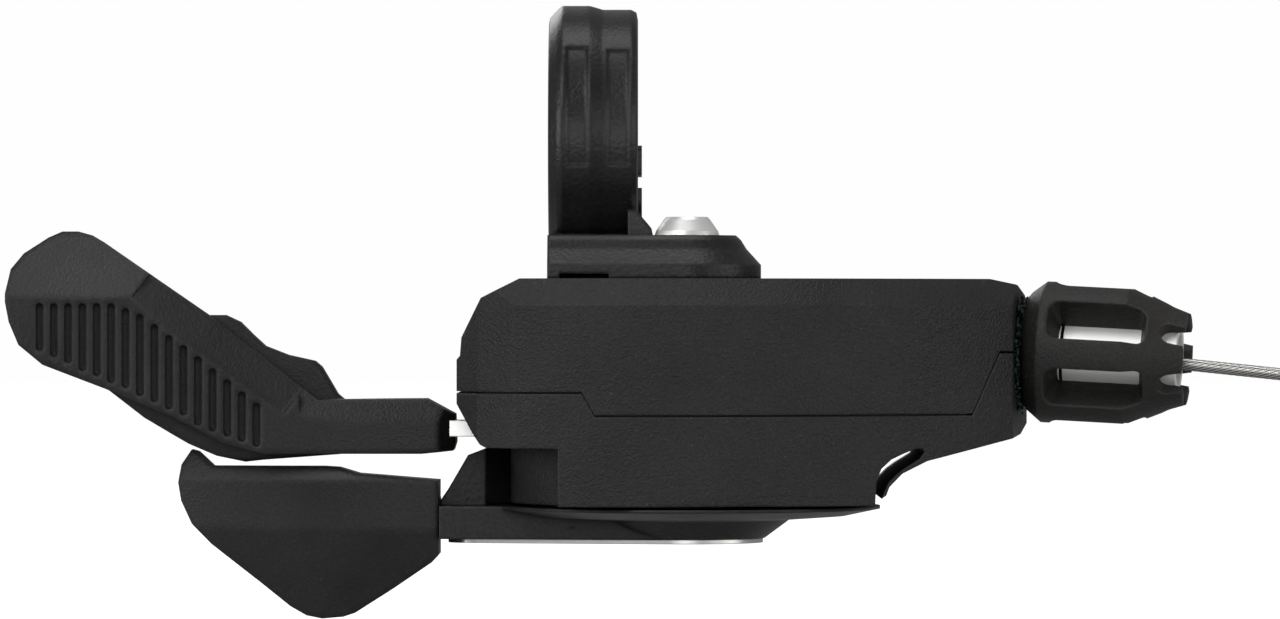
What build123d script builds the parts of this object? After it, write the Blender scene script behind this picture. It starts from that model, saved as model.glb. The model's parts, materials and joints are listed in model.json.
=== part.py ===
from build123d import *
from math import cos, degrees, radians, sin, tan
import os

os.makedirs("parts", exist_ok=True)

# Millimetres. X is the handlebar's axis with the cable on the +X side, Z is up, the rider is on the +Y side.
# The origin is the centre of the clamp's bore.

# Handlebar clamp
bar_radius = 11.1
band_half = 4.5
band_radius = 13.87
band_step = 0.39
bar_relief = 0.5
ear_half = 4.9
ear_reach = band_radius + 8.73
ear_top = 0.0
ear_bottom = -7.5
ear_corner = 1.6
slit = 1.3
pinch_x = 0.2
pinch_y = band_radius + 4.33
pinch_radius = 2.5
pinch_head = 4.2
pinch_head_height = 4.4

# Main axle, which the spool and both levers share
axle_x = 9.4
axle_y = -11.0
axle_radius = 3.0
running_fit = 0.05

# Levels of the pod
cover_top = -band_radius - 0.03
ceiling = cover_top - 1.5
plate_thickness = 1.0
spool_top = cover_top - 3.2
groove_z = cover_top - 5.5
spool_bottom = cover_top - 10.1
ratchet_thickness = 2.0
parting_left = cover_top - 11.2
parting_middle = cover_top - 13.45
parting_right = cover_top - 7.3
parting_gap = 0.2
arm_top = cover_top - 14.1
arm_thickness = 1.6
shelf_top = cover_top - 16.0
shelf_bottom = cover_top - 16.6
winding_top = cover_top - 17.5
carrier_top = cover_top - 19.8
floor_top = cover_top - 20.9
floor_bottom = cover_top - 22.3
hub_top = cover_top - 22.6
hub_bottom = cover_top - 25.85
lever_plate = 0.45

# Mechanism's radii, from which the pod around it is worked out
flange_radius = 13.9
groove_radius = flange_radius - 2.4
index_root = flange_radius - 1.6
plate_radius = flange_radius + 1.8
pillar_circle = flange_radius + 1.0

# Barrel adjuster's place along the axis of the wire
barrel_start = 34.3

# Pod, seen from above, from the axle
wall = 1.8
silhouette_wall = 1.5
tier_wall = 1.6
tier_radius = plate_radius + tier_wall + 0.3
end_block = barrel_start - 5.9
bevel_height = 2.6
bevel_width = 2.3
mount_screw_radius = 2.0
foot_radius = 7.4

# Mechanism
wire_radius = 0.6
spool_hub = 5.6
bush_radius = 6.5
click_angle = 15
clicks = 12
pillar_radius = 0.7
pillar_angles = (20, 112, 245)
pawl_pivot = (flange_radius + 3.1, -1.5)
pawl_pin_radius = 1.2
nose_gap = 0.15
arm_half = 3.5
release_travel = 12.0
pull_travel = 45.0
carrier_radius = tier_radius - tier_wall - 1.4
winding_tip = carrier_radius - 5.0
winding_root = winding_tip - 1.2
floor_bore = 6.6
pull_pawl_circle = carrier_radius - 2.4
pull_pawl_angle = 130
pull_pin_radius = 1.0

# Barrel adjuster and its axis, which the wire follows
cable_yaw = 11.0
cable_pitch = 3.0
barrel_radius = 7.1
barrel_length = 16.2
sleeve_radius = 3.55
neck_radius = 5.0
insert_depth = 5.0
wire_hole = 1.0
hole_length = 12.0
rib_count = 6

# Inner wire beyond the barrel, tied up in a coil
wire_sag = 5.8
run_length = 48.0
turn_radius = 19.4
turn_layers = 5
turn_columns = 4

yaw_cos = cos(radians(cable_yaw))
yaw_sin = sin(radians(cable_yaw))
arm_bottom = arm_top - arm_thickness
plate_bottom = ceiling - plate_thickness
ratchet_bottom = spool_bottom - ratchet_thickness
winding_bottom = winding_top - ratchet_thickness
base_bottom = shelf_top - 1.2
fine_gap = 0.3

pod_front = Plane((axle_x, axle_y, 0), x_dir=(1, 0, 0), z_dir=(0, -1, 0))


def level(z):
    """The plane square to the axle at a height."""
    return Plane((axle_x, axle_y, z))


def polar(radius, angle):
    """A point around the axle."""
    return (radius * cos(radians(angle)), radius * sin(radians(angle)))


# Line of the wire: it leaves the spool's groove at a tangent on the rider's side and runs to the barrel
tangent_point = (groove_radius * yaw_sin, groove_radius * yaw_cos)
wire_flat = Vector(yaw_cos, -yaw_sin, 0)
wire_start = Vector(axle_x + tangent_point[0], axle_y + tangent_point[1], groove_z)
barrel_dir = (wire_flat - Vector(0, 0, tan(radians(cable_pitch)))).normalized()
barrel_origin = wire_start + barrel_dir * ((barrel_start - tangent_point[0]) / barrel_dir.X)
barrel_cross = Plane(barrel_origin, x_dir=(yaw_sin, yaw_cos, 0), z_dir=barrel_dir)
barrel_axis = Axis(barrel_origin, barrel_dir)
barrel_section = Plane(barrel_origin, x_dir=barrel_dir, z_dir=barrel_cross.x_dir)
end_y = barrel_origin.Y - axle_y

# Corners of the pod's outline from above
front_left = (0.6 - tier_radius, 0.2 - tier_radius)
front_bulge = (8.6, 0.6 - tier_radius)
end_front = (barrel_start - 1.9, end_y - 8.1)
end_rear = (barrel_start + 0.4, end_y + 8.1)
rear_bulge = (4.6, tier_radius + 2.6)
rear_left = (4.2 - tier_radius, tier_radius + 1.0)
left_corners = [(x - tier_radius, y) for x, y in [(-1.9, 13.5), (-5.2, 7.5), (-5.2, -9.5), (-3.1, -13.8)]]


def pod_plan():
    """Outline of the pod from above."""
    with BuildLine() as edge:
        ThreePointArc(front_left, front_bulge, end_front)
        Line(end_front, end_rear)
        ThreePointArc(end_rear, rear_bulge, rear_left)
        Polyline(rear_left, *left_corners, front_left)
    make_face(edge.edges())


# Outline of the pod from the front: the top with its bevelled left end, the slanting tail, the lower tier
left_slope = [(-5.2, -8.0), (-4.85, -7.6), (-4.7, -5.8), (-2.7, -1.9), (1.1, 0.0)]
right_end = [(-4.1, 0.0), (-1.1, -0.6), (0.1, -1.6), (0.5, -3.1), (0.5, -14.5), (-0.6, -15.6), (-3.6, -16.3)]
tail = [(6.0, -18.0), (3.5, -19.2), (2.2, -20.5), (1.9, -21.3), (0.8, -22.1), (0.2, -22.3)]
left_foot = [(-2.2, -16.6), (-2.8, -16.3), (-3.5, -15.3), (-5.2, -12.35), (-5.4, -11.2)]
pod_outline = [(x - tier_radius, z + cover_top) for x, z in left_slope]
pod_outline += [(x + barrel_start, z + cover_top) for x, z in right_end]
pod_outline += [(x + tier_radius, z + cover_top) for x, z in tail]
pod_outline += [(-tier_radius, floor_bottom), (-tier_radius, shelf_bottom)]
pod_outline += [(x - tier_radius, z + cover_top) for x, z in left_foot]
parting_line = [
    (barrel_start + 2.0, parting_right), (barrel_start - 3.25, parting_right),
    (barrel_start - 6.1, parting_middle), (-9.1, parting_middle), (-10.4, parting_left),
    (-tier_radius - 8.0, parting_left),
]
depth = 3.5 * tier_radius


def tier_plan(radius, inset):
    """Outline of the lower tier from above: round at the left, where the lever's wall swings past."""
    pod_plan()
    if inset:
        offset(amount=-inset)
    with Locations((4.9 - tier_radius + inset - depth / 2, 0)):
        Rectangle(depth, 2 * depth, mode=Mode.SUBTRACT)
    Circle(radius)


# Whole pod as one block, and the room inside it, which leaves columns for the housing screws
boss_places = [(-tier_radius - 0.7, 9.6), (-tier_radius, -12.0), (barrel_start - 9.0, -4.2)]
boss_radius = 2.6
screw_radius = 1.2
screw_head_radius = 2.1
screw_head_z = cover_top - 15.3
screw_length = 9.0
with BuildPart(mode=Mode.PRIVATE) as pod_block:
    with BuildSketch(level(shelf_bottom)):
        pod_plan()
    extrude(amount=cover_top - shelf_bottom)
    rim = pod_block.edges().filter_by(lambda e: abs(e.center().Z - cover_top) < 0.01)
    long_rim = rim.sort_by(SortBy.LENGTH)[-2:]
    top_face = pod_block.faces().sort_by(Axis.Z)[-1]
    chamfer(long_rim, length=bevel_width, length2=bevel_height, reference=top_face)
    with BuildSketch(level(floor_bottom)):
        tier_plan(tier_radius, 0)
    extrude(amount=shelf_bottom - floor_bottom)
    with BuildSketch(pod_front) as outline:
        with BuildLine():
            Polyline(*pod_outline, close=True)
        make_face()
    extrude(amount=depth, both=True, mode=Mode.INTERSECT)

# Hooked notch that runs back through the tail, behind a thin lip
hook_edge = [
    (0.8, -21.7), (0.9, -19.9), (1.4, -18.7), (2.4, -17.8), (3.7, -17.2), (5.0, -16.7), (5.5, -16.7),
    (5.7, -17.1), (5.3, -17.7), (3.7, -18.7), (2.9, -19.3), (2.1, -20.1), (1.8, -20.8), (1.4, -21.7),
    (1.4, -23.0), (0.8, -23.0),
]
hook_line = [(x + tier_radius, z + cover_top) for x, z in hook_edge]
tail_top = base_bottom - 0.1
lobe_end = pawl_pivot[0] + pawl_pin_radius + 1.8 + fine_gap
with BuildPart(mode=Mode.PRIVATE) as pod_room:
    with BuildSketch(level(shelf_top)):
        pod_plan()
        offset(amount=-wall)
    extrude(amount=ceiling - shelf_top)
    with BuildSketch(level(floor_top)):
        tier_plan(tier_radius - tier_wall, wall)
    extrude(amount=shelf_top - floor_top)
    with BuildSketch(pod_front):
        with BuildLine():
            Polyline(*pod_outline, close=True)
        make_face()
        offset(amount=-silhouette_wall, kind=Kind.INTERSECTION)
        with Locations((end_block + depth / 2, 0)):
            Rectangle(depth, 2 * depth, mode=Mode.SUBTRACT)
        with Locations((-tier_radius, shelf_bottom)):
            Rectangle(3.2, 2 * (shelf_top - shelf_bottom) + 2.4, mode=Mode.ADD)
        with Locations((tier_radius - tier_wall, floor_bottom)):
            Rectangle(end_block, tail_top - floor_bottom, align=(Align.MIN, Align.MIN), mode=Mode.SUBTRACT)
        with Locations((lobe_end, floor_bottom)):
            Rectangle(end_block, arm_bottom - floor_bottom, align=(Align.MIN, Align.MIN), mode=Mode.SUBTRACT)
    extrude(amount=depth, both=True, mode=Mode.INTERSECT)
    with BuildSketch(level(floor_bottom)):
        with Locations(*boss_places):
            Circle(boss_radius)
    extrude(amount=cover_top - floor_bottom, mode=Mode.SUBTRACT)


def upper_half(clearance):
    """Sketch of the front outline above the parting line."""
    with BuildLine() as edge:
        line = [(x, z + clearance) for x, z in parting_line]
        Polyline(*line, (line[-1][0], cover_top + 2), (line[0][0], cover_top + 2), close=True)
    make_face(edge.edges())


# Port in the cover's side through which a new wire is threaded, in line with the wire
port_radius = 2.9
port_length = 4.0
port_shift = tangent_point[0] + tier_radius + 1.3
port_point = wire_start - barrel_dir * (port_shift / barrel_dir.X)
port_plane = Plane(port_point, x_dir=barrel_cross.x_dir, z_dir=barrel_dir)

# Top cover
with BuildPart() as top_cover:
    add(pod_block.part)
    with BuildSketch(pod_front):
        upper_half(parting_gap / 2)
    extrude(amount=depth, both=True, mode=Mode.INTERSECT)
    add(pod_room.part, mode=Mode.SUBTRACT)
    with BuildSketch(level(cover_top)):
        Circle(mount_screw_radius + running_fit)
    extrude(amount=ceiling - cover_top, mode=Mode.SUBTRACT)
    with BuildSketch(level(screw_head_z)):
        with Locations(*boss_places):
            Circle(screw_radius)
    extrude(amount=screw_length, mode=Mode.SUBTRACT)
    with BuildSketch(barrel_cross.offset(-insert_depth)):
        Circle(neck_radius)
    extrude(amount=2 * insert_depth, mode=Mode.SUBTRACT)
    with BuildSketch(barrel_cross.offset(-hole_length)):
        Circle(wire_hole)
    extrude(amount=hole_length, mode=Mode.SUBTRACT)
    with BuildSketch(port_plane.offset(-port_length)):
        Circle(port_radius)
    extrude(amount=2 * port_length, mode=Mode.SUBTRACT)
top_cover.part.label = "top_cover"
export_step(top_cover.part, "parts/top_cover.step")

# Lower housing, with the release lever's slot, the hooked notch under its tail and the floor's bore
slot_sweep = release_travel + degrees(arm_half / tier_radius)
slot_room = 0.75
with BuildPart() as lower_housing:
    add(pod_block.part)
    with BuildSketch(pod_front):
        upper_half(-parting_gap / 2)
    extrude(amount=depth, both=True, mode=Mode.SUBTRACT)
    add(pod_room.part, mode=Mode.SUBTRACT)
    with BuildSketch(level(shelf_top)):
        Polygon((0, 0), polar(40, 168), polar(40, 181 + slot_sweep), align=None)
    extrude(amount=arm_top + slot_room - shelf_top, mode=Mode.SUBTRACT)
    with BuildSketch(level(floor_top)):
        Circle(floor_bore)
    extrude(amount=2 * (floor_bottom - floor_top), both=True, mode=Mode.SUBTRACT)
    with BuildSketch(pod_front):
        with BuildLine():
            Polyline(*hook_line, close=True)
        make_face()
    extrude(amount=depth, both=True, mode=Mode.SUBTRACT)
    with BuildSketch(level(screw_head_z)):
        with Locations(*boss_places):
            Circle(screw_radius)
    extrude(amount=screw_length, mode=Mode.SUBTRACT)
    with BuildSketch(level(screw_head_z)):
        with Locations(*boss_places):
            Circle(screw_head_radius + running_fit)
    extrude(amount=-6, mode=Mode.SUBTRACT)
    with BuildSketch(barrel_cross.offset(-insert_depth)):
        Circle(neck_radius)
    extrude(amount=2 * insert_depth, mode=Mode.SUBTRACT)
    with BuildSketch(barrel_cross.offset(-hole_length)):
        Circle(wire_hole)
    extrude(amount=hole_length, mode=Mode.SUBTRACT)
lower_housing.part.label = "lower_housing"
export_step(lower_housing.part, "parts/lower_housing.step")

with BuildPart() as cable_port_plug:
    with BuildSketch(port_plane.offset(-1)):
        Circle(port_radius)
    extrude(amount=3.4)
    with BuildSketch(port_plane.offset(-1)):
        SlotOverall(3.6, 0.8)
    extrude(amount=0.7, mode=Mode.SUBTRACT)
cable_port_plug.part.label = "cable_port_plug"
export_step(cable_port_plug.part, "parts/cable_port_plug.step")

with BuildPart() as housing_screws:
    with BuildSketch(level(screw_head_z)):
        with Locations(*boss_places):
            Circle(screw_head_radius)
    extrude(amount=-1.2)
    with BuildSketch(level(screw_head_z)):
        with Locations(*boss_places):
            Circle(screw_radius)
    extrude(amount=screw_length)
    with BuildSketch(level(screw_head_z - 1.2)):
        with Locations(*boss_places):
            RegularPolygon(0.9, 6)
    extrude(amount=0.8, mode=Mode.SUBTRACT)
housing_screws.part.label = "housing_screws"
export_step(housing_screws.part, "parts/housing_screws.step")

# Clamp band, forged in one piece with the foot that carries the pod
foot_top = cover_top + 4.35
foot_rim = [(0.0, 0.0), (0.0, 1.4), (1.45, 3.0), (2.0, 3.9), (2.5, 4.35)]
foot_slope = [(x - foot_radius, z + cover_top) for x, z in foot_rim]
band_left = [(0.0, -1.67), (0.1, -1.21), (0.9, -0.32), (1.34, 0.0)]
band_right = [(-4.26, -0.17), (-3.55, -band_step), (-0.7, -band_step), (-0.16, -0.67), (0.0, -1.47)]
band_section = [(x - band_half, r + band_radius) for x, r in band_left] + [(-0.4, band_radius)]
band_section += [(x + band_half, r + band_radius) for x, r in band_right] + [(band_half, 0), (-band_half, 0)]

# Two shallow flutes run round the band's front, and a relief runs under the foot's left
flute_from = -10.8
flute_arc = 53.5
flute_start = Plane(
    (0, 0, 0), x_dir=(1, 0, 0), z_dir=(0, -sin(radians(flute_from)), -cos(radians(flute_from))),
)
flute_section = [(-1.2, 0.5), (-1.2, 0), (-0.9, -0.25), (0.9, -0.25), (1.2, 0), (1.2, 0.5)]
foot_relief_x = -0.85
foot_relief_width = 4.9
foot_relief_height = 0.5
gusset_width = 3.6
gusset_y = 0.3 - 0.65 * band_radius
with BuildPart() as clamp_band:
    with BuildSketch(Plane.XZ):
        with BuildLine():
            Polyline(*band_section, close=True)
        make_face()
    revolve(axis=Axis.X)
    with BuildSketch(Plane((axle_x, axle_y, 0), x_dir=(1, 0, 0), z_dir=(0, -1, 0))):
        with BuildLine():
            Polyline(*foot_slope, (0, foot_top), (0, cover_top), close=True)
        make_face()
    revolve(axis=Axis((axle_x, axle_y, 0), (0, 0, 1)))
    with BuildSketch(Plane((-band_half, axle_y, 0), x_dir=(0, 1, 0), z_dir=(1, 0, 0))):
        with BuildLine():
            Polyline(*foot_slope, (-axle_y, foot_top), (-axle_y, cover_top), close=True)
        make_face()
    extrude(amount=axle_x + band_half)
    with BuildSketch(Plane((-band_half, 0, 0), x_dir=(0, 1, 0), z_dir=(1, 0, 0))):
        with Locations(((ear_reach + bar_radius) / 2, (ear_top + ear_bottom) / 2)):
            RectangleRounded(ear_reach - bar_radius, ear_top - ear_bottom, ear_corner)
    extrude(amount=band_half + ear_half)
    with BuildSketch(Plane.YZ):
        Circle(bar_radius)
    extrude(amount=band_half, both=True, mode=Mode.SUBTRACT)
    with BuildSketch(Plane.YZ.offset(band_half)):
        Circle(bar_radius + bar_relief)
    extrude(amount=20, mode=Mode.SUBTRACT)
    with BuildSketch(Plane.YZ.offset(-band_half - 1)):
        with Locations((pinch_y, (ear_top + ear_bottom) / 2)):
            Rectangle(2 * (pinch_y - bar_radius), slit)
    extrude(amount=3 * ear_half, mode=Mode.SUBTRACT)
    with BuildSketch(Plane((pinch_x, pinch_y, ear_bottom))):
        Circle(pinch_radius)
    extrude(amount=ear_top - ear_bottom, mode=Mode.SUBTRACT)
    with BuildSketch(level(cover_top)):
        Circle(mount_screw_radius + running_fit)
    extrude(amount=foot_top - cover_top, mode=Mode.SUBTRACT)
    with BuildSketch(Plane((0, axle_y, cover_top), x_dir=(1, 0, 0), z_dir=(0, -1, 0))):
        with Locations((foot_relief_x, 0)):
            Rectangle(foot_relief_width, 2 * foot_relief_height)
    extrude(amount=foot_radius, both=True, mode=Mode.SUBTRACT)
    with BuildSketch(Plane((band_half, gusset_y, foot_top), x_dir=(1, 0, 0), z_dir=(0, -1, 0))):
        Polygon((-1.0, 0), (1.5, 0), (1.35, 0.7), (0.9, 1.25), (0.3, 1.95), (0, 2.4), (-1.0, 2.4), align=None)
    extrude(amount=gusset_width)
    with BuildSketch(flute_start):
        for side, surface in ((-1.6, band_radius), (2.5, band_radius - band_step)):
            with Locations((side, surface)):
                Polygon(*flute_section, align=None)
    revolve(axis=Axis((0, 0, 0), (-1, 0, 0)), revolution_arc=flute_arc, mode=Mode.SUBTRACT)
clamp_band.part.label = "clamp_band"
export_step(clamp_band.part, "parts/clamp_band.step")

with BuildPart() as pinch_bolt:
    with BuildSketch(Plane((pinch_x, pinch_y, ear_bottom))):
        Circle(pinch_radius)
    extrude(amount=ear_top - ear_bottom)
    with BuildSketch(Plane((pinch_x, pinch_y, ear_top))):
        Circle(pinch_head)
    extrude(amount=pinch_head_height)
    with BuildSketch(Plane((pinch_x, pinch_y, ear_top + pinch_head_height))):
        RegularPolygon(2.0, 6, major_radius=False)
    extrude(amount=-0.6 * pinch_head_height, mode=Mode.SUBTRACT)
pinch_bolt.part.label = "pinch_bolt"
export_step(pinch_bolt.part, "parts/pinch_bolt.step")

# Mounting screw, from the foot down into the axle
screw_top = foot_top + 1.85
screw_end = cover_top - 8.1
with BuildPart() as mounting_screw:
    with BuildSketch(pod_front):
        with BuildLine():
            Polyline(
                (0, screw_top), (2.05, screw_top), (2.3, screw_top - 0.25), (3.1, foot_top + 0.45),
                (3.25, foot_top), (mount_screw_radius, foot_top), (mount_screw_radius, screw_end),
                (0, screw_end), close=True,
            )
        make_face()
    revolve(axis=Axis((axle_x, axle_y, 0), (0, 0, 1)))
    with BuildSketch(level(screw_top)):
        RegularPolygon(1.25, 6, major_radius=False)
    extrude(amount=-1.5, mode=Mode.SUBTRACT)
mounting_screw.part.label = "mounting_screw"
export_step(mounting_screw.part, "parts/mounting_screw.step")

# Main axle with its shoulder, and what it carries in the fixed frame
shoulder_radius = 4.4
spigot_radius = 2.7
stud_radius = 2.4
nut_top = hub_top - 1.9
nut_bottom = hub_bottom + 0.35
with BuildPart() as main_axle:
    with BuildSketch(pod_front):
        with BuildLine():
            Polyline(
                (mount_screw_radius, ceiling), (spigot_radius, ceiling), (spigot_radius, plate_bottom),
                (shoulder_radius, plate_bottom), (shoulder_radius, spool_top + fine_gap),
                (axle_radius, spool_top + fine_gap), (axle_radius, nut_top), (stud_radius, nut_top),
                (stud_radius, nut_bottom), (0, nut_bottom), (0, screw_end - 1),
                (mount_screw_radius, screw_end - 1), close=True,
            )
        make_face()
    revolve(axis=Axis((axle_x, axle_y, 0), (0, 0, 1)))
main_axle.part.label = "main_axle"
export_step(main_axle.part, "parts/main_axle.step")

with BuildPart() as hub_washer:
    with BuildSketch(level(nut_top)):
        Circle(4.6)
        Circle(stud_radius, mode=Mode.SUBTRACT)
    extrude(amount=-0.3)
hub_washer.part.label = "hub_washer"
export_step(hub_washer.part, "parts/hub_washer.step")

with BuildPart() as axle_nut:
    with BuildSketch(level(nut_top - 0.3)):
        RegularPolygon(4.2, 6)
        Circle(stud_radius, mode=Mode.SUBTRACT)
    extrude(amount=nut_bottom - nut_top + 0.3)
axle_nut.part.label = "axle_nut"
export_step(axle_nut.part, "parts/axle_nut.step")

pillar_places = [polar(pillar_circle, angle) for angle in pillar_angles]


def frame_plate(hole):
    """Sketch of a plate of the mechanism's frame: round, with a lobe for the holding pawl's pin."""
    Circle(plate_radius)
    with Locations(pawl_pivot):
        Circle(pawl_pin_radius + 1.8)
    make_hull()
    Circle(hole, mode=Mode.SUBTRACT)
    with Locations(*pillar_places):
        Circle(pillar_radius, mode=Mode.SUBTRACT)
    with Locations(pawl_pivot):
        Circle(pawl_pin_radius, mode=Mode.SUBTRACT)


with BuildPart() as top_plate:
    with BuildSketch(level(plate_bottom)):
        frame_plate(spigot_radius)
    extrude(amount=plate_thickness)
top_plate.part.label = "top_plate"
export_step(top_plate.part, "parts/top_plate.step")

with BuildPart() as base_plate:
    with BuildSketch(level(base_bottom)):
        frame_plate(bush_radius)
    extrude(amount=shelf_top - base_bottom)
base_plate.part.label = "base_plate"
export_step(base_plate.part, "parts/base_plate.step")

with BuildPart() as plate_pillars:
    with BuildSketch(level(base_bottom)):
        with Locations(*pillar_places):
            Circle(pillar_radius)
    extrude(amount=ceiling - base_bottom)
plate_pillars.part.label = "plate_pillars"
export_step(plate_pillars.part, "parts/plate_pillars.step")

bush_top = ratchet_bottom - fine_gap
with BuildPart() as base_bushing:
    with BuildSketch(level(base_bottom)):
        Circle(bush_radius)
        Circle(spool_hub + running_fit, mode=Mode.SUBTRACT)
    extrude(amount=bush_top - base_bottom)
base_bushing.part.label = "base_bushing"
export_step(base_bushing.part, "parts/base_bushing.step")


def coil_spring(plane, radius, wire, height, turns):
    """Torsion spring of square wire around a post that stands on a plane."""
    with BuildPart() as spring:
        with BuildLine() as path:
            Helix(pitch=height / turns, height=height, radius=radius)
        with BuildSketch(Plane(origin=path.line @ 0, z_dir=path.line % 0)):
            Rectangle(wire, wire)
        sweep(path=path.line, is_frenet=True)
    return plane.location * spring.part


def spiral_strip(inner, outer, turns, width):
    """Sketch of a flat strip wound into a spiral."""
    steps = 10 * turns
    near = [polar(inner + (outer - inner) * i / steps, 36 * i) for i in range(steps + 1)]
    far = [polar(inner + width + (outer - inner) * i / steps, 36 * i) for i in range(steps, -1, -1)]
    Polygon(*near, *far, align=None)


# Cable spool with the wire's groove, the nipple's seat and the spring's pocket
nipple_angle = 90 - cable_yaw + 19
nipple_length = 4.4
nipple_radius = 2.1
groove_half = wire_radius + 0.15
groove_bottom = groove_radius - wire_radius - 0.1
pocket_top = spool_bottom + 2.0
pocket_inner = spool_hub
pocket_outer = flange_radius - 2.3
with BuildPart() as cable_spool:
    with BuildSketch(pod_front):
        with BuildLine():
            Polyline(
                (axle_radius + running_fit, spool_top), (flange_radius - 0.6, spool_top),
                (flange_radius, spool_top - 0.6), (flange_radius, groove_z + groove_half + 0.6),
                (groove_bottom + 0.9, groove_z + groove_half), (groove_bottom, groove_z + groove_half),
                (groove_bottom, groove_z - groove_half), (groove_bottom + 0.9, groove_z - groove_half),
                (flange_radius, groove_z - groove_half - 0.6), (flange_radius, spool_bottom),
                (pocket_outer, spool_bottom), (pocket_outer, pocket_top), (pocket_inner, pocket_top),
                (pocket_inner, winding_bottom), (axle_radius + running_fit, winding_bottom), close=True,
            )
        make_face()
    revolve(axis=Axis((axle_x, axle_y, 0), (0, 0, 1)))
    with BuildSketch(level(groove_z + nipple_radius + 0.1)):
        with Locations(Location(polar(groove_radius + 3, nipple_angle), nipple_angle)):
            Rectangle(6 + 2 * nipple_radius, nipple_length + 0.2)
    extrude(amount=-2 * nipple_radius - 0.2, mode=Mode.SUBTRACT)
cable_spool.part.label = "cable_spool"
export_step(cable_spool.part, "parts/cable_spool.step")

with BuildPart() as spool_spring:
    with BuildSketch(level(spool_bottom + 0.2)):
        spiral_strip(pocket_inner + 0.45, pocket_outer - 0.7, 4, 0.5)
    extrude(amount=1.5)
spool_spring.part.label = "spool_spring"
export_step(spool_spring.part, "parts/spool_spring.step")


def ratchet_teeth(root, tip, count, start):
    """Sketch of saw teeth that stop the wheel from turning back."""
    with PolarLocations(0, count, start_angle=start, angular_range=count * click_angle):
        Polygon(
            (root - 1, 0), (tip, 0), polar(tip, 0.3 * click_angle), polar(root, click_angle),
            polar(root - 1, click_angle), align=None,
        )


with BuildPart() as index_ratchet:
    with BuildSketch(level(ratchet_bottom)):
        Circle(index_root)
        ratchet_teeth(index_root, flange_radius, clicks, -205)
        Circle(spool_hub, mode=Mode.SUBTRACT)
    extrude(amount=ratchet_thickness)
index_ratchet.part.label = "index_ratchet"
export_step(index_ratchet.part, "parts/index_ratchet.step")

with BuildPart() as winding_ratchet:
    with BuildSketch(level(winding_bottom)):
        Circle(winding_root)
        ratchet_teeth(winding_root, winding_tip, 360 // click_angle, 0)
        Circle(spool_hub, mode=Mode.SUBTRACT)
    extrude(amount=ratchet_thickness)
winding_ratchet.part.label = "winding_ratchet"
export_step(winding_ratchet.part, "parts/winding_ratchet.step")

# Holding pawl: its nose rides the index ratchet, its peg follows the release arm's ramp
nose_angle = -35
nose_radius = flange_radius + nose_gap
pawl_thickness = 1.8
pawl_top = spool_bottom - 0.1
peg_radius = 0.8
peg_place = polar(nose_radius + 2.0, nose_angle + 4)
with BuildPart() as holding_pawl:
    with BuildSketch(level(pawl_top - pawl_thickness)):
        with Locations(pawl_pivot):
            Circle(2.2)
        with Locations(peg_place):
            Circle(1.4)
        make_hull()
        Polygon(
            polar(nose_radius, nose_angle), polar(nose_radius + 2.6, nose_angle - 3),
            polar(nose_radius + 2.2, nose_angle + 8), align=None,
        )
        with Locations(pawl_pivot):
            Circle(pawl_pin_radius + running_fit, mode=Mode.SUBTRACT)
    extrude(amount=pawl_thickness)
    with BuildSketch(level(pawl_top - pawl_thickness)):
        with Locations(peg_place):
            Circle(peg_radius)
    extrude(amount=arm_bottom + fine_gap - pawl_top + pawl_thickness)
holding_pawl.part.label = "holding_pawl"
export_step(holding_pawl.part, "parts/holding_pawl.step")

with BuildPart() as holding_pawl_pin:
    with BuildSketch(level(base_bottom)):
        with Locations(pawl_pivot):
            Circle(pawl_pin_radius)
    extrude(amount=ceiling - base_bottom)
holding_pawl_pin.part.label = "holding_pawl_pin"
export_step(holding_pawl_pin.part, "parts/holding_pawl_pin.step")

pawl_spring_plane = Plane((axle_x + pawl_pivot[0], axle_y + pawl_pivot[1], pawl_top + 0.4))
holding_pawl_spring = coil_spring(pawl_spring_plane, pawl_pin_radius + 0.3, 0.4, 1.8, 3)
holding_pawl_spring.label = "holding_pawl_spring"
export_step(holding_pawl_spring, "parts/holding_pawl_spring.step")

# Release lever: a steel arm on the base bushing, with a ramp for the pawl's peg, moulded into the outer bar
arm_reach = tier_radius + 8.9
ramp_inner = nose_radius + 2.0 - peg_radius - 0.15
ramp_start = nose_angle + 4 - 4
with BuildPart() as release_arm:
    with BuildSketch(level(arm_bottom)):
        Circle(bush_radius + 3.1)
        with Locations((-arm_reach / 2, 0)):
            Rectangle(arm_reach, 2 * arm_half)
        Polygon(
            (0, 0), polar(ramp_inner, ramp_start + 2), polar(ramp_inner, ramp_start - 3),
            polar(ramp_inner + 1.6, ramp_start - 3 - release_travel),
            polar(ramp_inner + 1.6, ramp_start - 6 - release_travel), align=None,
        )
        Circle(bush_radius + running_fit, mode=Mode.SUBTRACT)
    extrude(amount=arm_thickness)
release_arm.part.label = "release_arm"
export_step(release_arm.part, "parts/release_arm.step")

release_spring = coil_spring(level(bush_top - 1.35), bush_radius + 0.5, 0.5, 0.9, 1)
release_spring.label = "release_spring"
export_step(release_spring, "parts/release_spring.step")

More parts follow.
